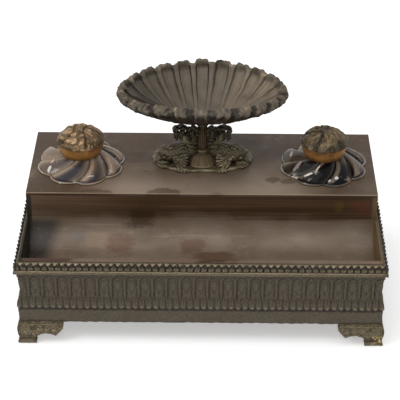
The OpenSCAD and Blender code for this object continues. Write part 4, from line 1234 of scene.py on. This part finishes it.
def glass_ring(u, n):
    """One ring of the shoulder: its points, its radius and the relief that it carries."""
    a = angles(n)
    across = np.mod((a - SWIRL * u) * LOBES / (2 * math.pi) + 0.06, 1)
    petal = np.sin(np.pi * across ** 0.85) ** 0.75
    lobe = np.sin(np.pi * across ** 0.55) ** 0.8
    crest = bell(across - 0.19, 0.10)
    r = (FLANGE_R - 0.3 - 5.0 * (1 - petal) * (1 - u)) * (1 - u) + (NECK_R + 0.6) * u
    swell = u ** (1.15 - 0.62 * lobe)
    z = 1.7 + (SHOULDER_H - 1.9) * swell - (2.2 - 2.4 * lobe - 0.5 * crest) * math.sin(math.pi * u)
    # Painted light and shade: a light crest on each petal, a painted dark reflection on the faces of the
    # front petals, and painted shade in the notches between them
    front = 0.2 + 0.8 * bell(a - math.radians(262), 0.8)
    face = bell(across - 0.52, 0.24) * (1 - 0.3 * u)
    tone = 0.66 + 0.25 * crest - 0.62 * face * front - 0.5 * bell(np.minimum(across, 1 - across), 0.05)
    return np.stack([r * np.cos(a), r * np.sin(a), z], -1), r, tone


def glass(side, x, finish):
    """The pot, the rolled edge, the swirled shoulder and the neck, then the bore and the cavity."""
    n = LOBES * 36
    edge = glass_ring(0, n)[1]
    bore = NECK_R - GLASS_T
    inner = POT_R - GLASS_T
    pot = ((4, -POT_DEPTH), (POT_R - 3, -POT_DEPTH), (POT_R - 0.6, -POT_DEPTH + 1.4), (POT_R, -POT_DEPTH + 3),
           (POT_R, -1), (POT_R, 0.02), (edge - 2, 0.02))
    rolled_edge = ((edge - 0.4, 0.15), (edge + 0.2, 0.6), (edge + 0.1, 1.1), (edge - 0.9, 1.5))
    inside = ((NECK_R, SHOULDER_H + 0.2), (NECK_R, MOUTH_Z - 0.6), (NECK_R - 0.7, MOUTH_Z),
              (bore + 0.6, MOUTH_Z), (bore, MOUTH_Z - 0.6), (bore, SHOULDER_H - 4.5), (inner - 2, 1),
              (inner, -4), (inner, -POT_DEPTH + 5.5), (inner - 2, -POT_DEPTH + GLASS_T),
              (4, -POT_DEPTH + GLASS_T))
    shoulder = [glass_ring(u, n) for u in np.linspace(0.07, 0.98, 30)]
    rings = [circle(r, z, n) for r, z in (*pot, *rolled_edge, (edge - 1.5, 1.75))]
    rings += [points for points, _, _ in shoulder] + [circle(r, z, n) for r, z in inside]
    # The rolled edge is painted lighter at its left and right, as a painted highlight
    level = [np.full(n, 0.5)] * len(pot) + [0.62 + 0.32 * np.abs(np.cos(angles(n)))] * len(rolled_edge)
    level += [np.full(n, 0.2)] + [tone for _, _, tone in shoulder] + [np.full(n, 0.4)] * len(inside)
    piece = loft("swirled_glass_" + side, np.array(rings) + (x, WELL_Y, DECK_Z), finish, level)
    return placed(tidied(piece), "well_" + side, "clear_glass", "glass_" + side)


def knuckle(low, high, material, x):
    """A barrel of the hinge between two places along the pin, with softened ends."""
    n = 28
    a = angles(n)
    outline = ((low, 1.2), (low, KNUCKLE_R - 0.3), (low + 0.3, KNUCKLE_R), (high - 0.3, KNUCKLE_R),
               (high, KNUCKLE_R - 0.3), (high, 1.2))
    rings = np.array([np.stack([np.full(n, px), r * np.cos(a), r * np.sin(a)], -1) for px, r in outline])
    return loft("barrel", rings + (x, WELL_Y + HINGE_Y, DECK_Z + HINGE_Z), material, 0.6)


def strap(x, low, high, y0, z0, z1, material):
    """A small flat lug from a rim to its barrel."""
    soft = 0.2
    outline = ((low, z0 + soft), (low + soft, z0), (high - soft, z0), (high, z0 + soft), (high, z1 - soft),
               (high - soft, z1), (low + soft, z1), (low, z1 - soft))
    rings = [[(x + px, WELL_Y + y, DECK_Z + pz) for px, pz in outline] for y in (y0, HINGE_Y)]
    return loft("lug", rings, material, 0.6)


def collar(side, x):
    """A bowl-shaped band with a bead at its foot and a rolled edge."""
    wide = COLLAR_R + COLLAR_FLARE
    bowl = [(COLLAR_R + COLLAR_FLARE * math.sin(math.radians(t * 90)), 14.6 + 9.6 * t, 0,
             0.35 + 0.35 * math.sin(math.pi * t)) for t in np.linspace(0.1, 1, 9)]
    bore = NECK_R + 0.1
    outline = [(bore, COLLAR_LOW, 0, 0.1), (COLLAR_R - 0.4, COLLAR_LOW, 0, 0.2),
               (COLLAR_R, COLLAR_LOW + 0.4, 0, 0.4), (COLLAR_R - 0.1, COLLAR_LOW + 1.1, 0, 0.1), *bowl,
               (wide + 0.1, 25, 0, 0.2), (wide, 25.7, 0, 0.3), (wide - 0.5, COLLAR_TOP, 0, 0.3),
               (NECK_R - 2, COLLAR_TOP, 0, 0.2), (NECK_R - 2, MOUTH_Z + 0.3, 0, 0.2),
               (bore, MOUTH_Z + 0.2, 0, 0.2), (bore, COLLAR_LOW, 0, 0.2)]
    parts = [turned_ring("ring", outline, BAND, centre=(x, WELL_Y), n=96),
             strap(x, -KNUCKLE_HALF, KNUCKLE_HALF, COLLAR_R + 1, 23.8, 25.8, BAND),
             knuckle(-KNUCKLE_HALF, KNUCKLE_HALF, BAND, x)]
    piece = shaken(joined("collar_band_" + side, parts), 14, 0.2, 6)
    return placed(piece, "well_" + side, "gilt_bronze", "collar_" + side)


def lid_relief(r, a):
    """A rosette of five broad, crumpled leaves round a knob, with a ring of beads at the edge."""
    leaf = np.abs(np.cos(a * 2.5))
    tip = 0.62 + 0.34 * leaf ** 0.6
    blade = np.clip(1 - (r / tip) ** 5, 0, 1) ** 0.5 * ease(r, 0.08, 0.22)
    gap = bell(leaf, 0.2) * ease(r, 0.12, 0.4)
    vein = bell(np.sin(a * 2.5) * r * 2.2, 0.1)
    ribs = 0.5 + 0.5 * np.cos(a * 30 + 9 * np.sin(r * 9))
    curl = bell(r - 0.52 - 0.12 * np.cos(a * 10), 0.09)
    curl = curl + bell(r - 0.8, 0.07) * (0.4 + 0.6 * np.cos(a * 7.5) ** 2)
    beads = bell(r - 0.93, 0.045) * (0.5 + 0.5 * np.cos(a * 40))
    return (1.1 * blade * (0.55 + 0.45 * ribs) - 1.0 * gap - 0.5 * vein * blade + 0.9 * curl * (1 - gap)
            + 1.1 * bell(r, 0.11) + 0.9 * beads)


def dome(u):
    """Height of a lid's dome at a share u of its radius."""
    return DOME_H * (1 - u ** 2.6) + 1.6


def lid(side, x, material, turn, seeds):
    """A thin dome with leaves on it, and two lugs with barrels for the pin."""
    n = 240
    a = angles(n)
    inner = LID_R - 2.8
    under = [(inner * u, dome(u * 0.9) - 2.2) for u in (0.06, 0.3, 0.55, 0.75, 0.9)]
    under += [(inner, 1.0), (inner, 0.02), (LID_R - 0.7, 0.02), (LID_R - 0.2, 0.4)]
    rings = [circle(r, z, n) for r, z in under]
    level = [np.full(n, 0.3)] * 7 + [np.full(n, 0.4)] * 2
    for u in np.linspace(1, 0.03, 48):
        height = lid_relief(u, a + turn + 0.35 * u)
        r = LID_R * u * (1 - 0.03 * np.sin(a * 8 + turn) ** 2 * ease(u, 0.85, 1))
        top = dome(u) - 1.1 + height * ease(u, 1.0, 0.95) * 0.9
        rings.append(np.stack([r * np.cos(a), r * np.sin(a), top], -1))
        level.append(np.clip(0.22 + 0.4 * height, 0, 1))
    piece = loft("dome", np.array(rings) + (x, WELL_Y, DECK_Z + LID_Z), material, level)
    crumpled(shaken(piece, 8, 0.35, seeds[0]), 16, 1.5, seeds[1], 0.4)
    crumpled(piece, 4.5, 0.3, 2, 0.2)
    parts = [tidied(piece)]
    near = KNUCKLE_HALF + KNUCKLE_GAP
    far = near + LID_KNUCKLE
    for low, high in ((-far, -near), (near, far)):
        parts.append(strap(x, low, high, LID_R - 3, LID_Z + 0.05, LID_Z + 1.2, material))
        parts.append(knuckle(low, high, material, x))
    return placed(joined("lid_with_leaves_" + side, parts), "lid_" + side, "gilt_bronze", "lid_" + side)


for side, x, finish, pane, turn, seeds in (("left", -WELL_X, LID_LIGHT, GLASS_LIGHT, 0.3, (7, 5)),
                                           ("right", WELL_X, LID_DARK, GLASS_DARK, 1.1, (12, 9))):
    glass(side, x, pane)
    collar(side, x)
    lid(side, x, finish, turn, seeds)


# ---------- plates of the tray and deck ----------

def dress(piece, material):
    """Gives a piece its finish in place of what it had."""
    piece.data.materials.clear()
    piece.data.materials.append(material)


def softened(name):
    """A copy of a CAD plate with its sharp edges rounded."""
    piece = linked("soft_" + name, nodes[name].data.copy())
    with edited(piece) as work:
        bmesh.ops.remove_doubles(work, verts=work.verts, dist=1e-6)
        bmesh.ops.dissolve_limit(work, angle_limit=math.radians(1), verts=work.verts, edges=work.edges)
        sharp = [e for e in work.edges if len(e.link_faces) == 2 and e.calc_face_angle() > math.radians(40)]
        bmesh.ops.bevel(work, geom=sharp, offset=0.45 * MM, segments=2, profile=0.6, affect="EDGES",
                        clamp_overlap=True)
        for face in work.faces:
            face.smooth = False
    dress(piece, PLATE)
    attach(piece, "stand")
    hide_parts(name)
    return piece


for name in ("deck_plate", "deck_side_left", "deck_side_right", "deck_back"):
    softened(name)
for name in ("pen_tray", "tray_end_left", "tray_end_right"):
    dress(nodes[name], TRAY)
for name in nodes:
    if name.startswith(("block_", "tie_", "hinge_pin_", "foot_screws")):
        dress(nodes[name], BRASS)


# ---------- floor, light and camera, in metres ----------

FLOOR_HALF = 3
AMBIENT = 0.42
LENS = 140.02
CAMERA_AT = (0.01231, MID_Y * MM - 1.23886, 0.86988)
PITCH = math.radians(32)
YAW = math.radians(-0.65)
ROLL = math.radians(0.12)

corners = [(x * FLOOR_HALF, y * FLOOR_HALF, 0) for x, y in ((-1, -1), (1, -1), (1, 1), (-1, 1))]
mesh_piece("floor", corners, [(0, 1, 2, 3)], FLOOR)


def lamp(name, where, size, power):
    """An area lamp that faces the object."""
    light = bpy.data.lights.new(name, "AREA")
    light.shape = "RECTANGLE"
    light.size, light.size_y = size
    light.energy = power
    holder = linked(name, light)
    holder.location = where
    holder.rotation_euler = (Vector((0, 0, 0.1)) - Vector(where)).to_track_quat("-Z", "Y").to_euler()


lamp("ceiling", (-0.3, -0.4, 1.6), (2.2, 1.8), 22)
lamp("window", (-0.9, -0.7, 1.3), (0.35, 0.35), 4)

world = bpy.data.worlds.new("studio")
bpy.context.scene.world = world
world.use_nodes = True
back = world.node_tree.nodes["Background"]
back.inputs["Color"].default_value = (1, 1, 1, 1)
rays, either, total, level = (world.node_tree.nodes.new("ShaderNode" + kind)
                              for kind in ("LightPath", "Math", "Math", "MapRange"))
either.operation = "ADD"
total.operation = "ADD"
level.inputs["To Min"].default_value = AMBIENT
for source, target in ((rays.outputs["Is Camera Ray"], either.inputs[0]),
                       (rays.outputs["Is Glossy Ray"], either.inputs[1]),
                       (either.outputs[0], total.inputs[0]),
                       (rays.outputs["Is Transmission Ray"], total.inputs[1]),
                       (total.outputs[0], level.inputs["Value"]),
                       (level.outputs[0], back.inputs["Strength"])):
    world.node_tree.links.new(source, target)

camera = linked("camera", bpy.data.cameras.new("camera"))
camera.data.lens = LENS
camera.data.sensor_width = 36
ahead = Vector((math.sin(YAW) * math.cos(PITCH), math.cos(YAW) * math.cos(PITCH), -math.sin(PITCH)))
level_right = ahead.cross(Vector((0, 0, 1))).normalized()
level_up = level_right.cross(ahead)
right = level_right * math.cos(ROLL) + level_up * math.sin(ROLL)
up = level_up * math.cos(ROLL) - level_right * math.sin(ROLL)
aim = Matrix((right, up, -ahead)).transposed().to_4x4()
camera.matrix_world = Matrix.Translation(CAMERA_AT) @ aim
bpy.context.scene.camera = camera
bpy.context.scene.view_settings.view_transform = "Standard"
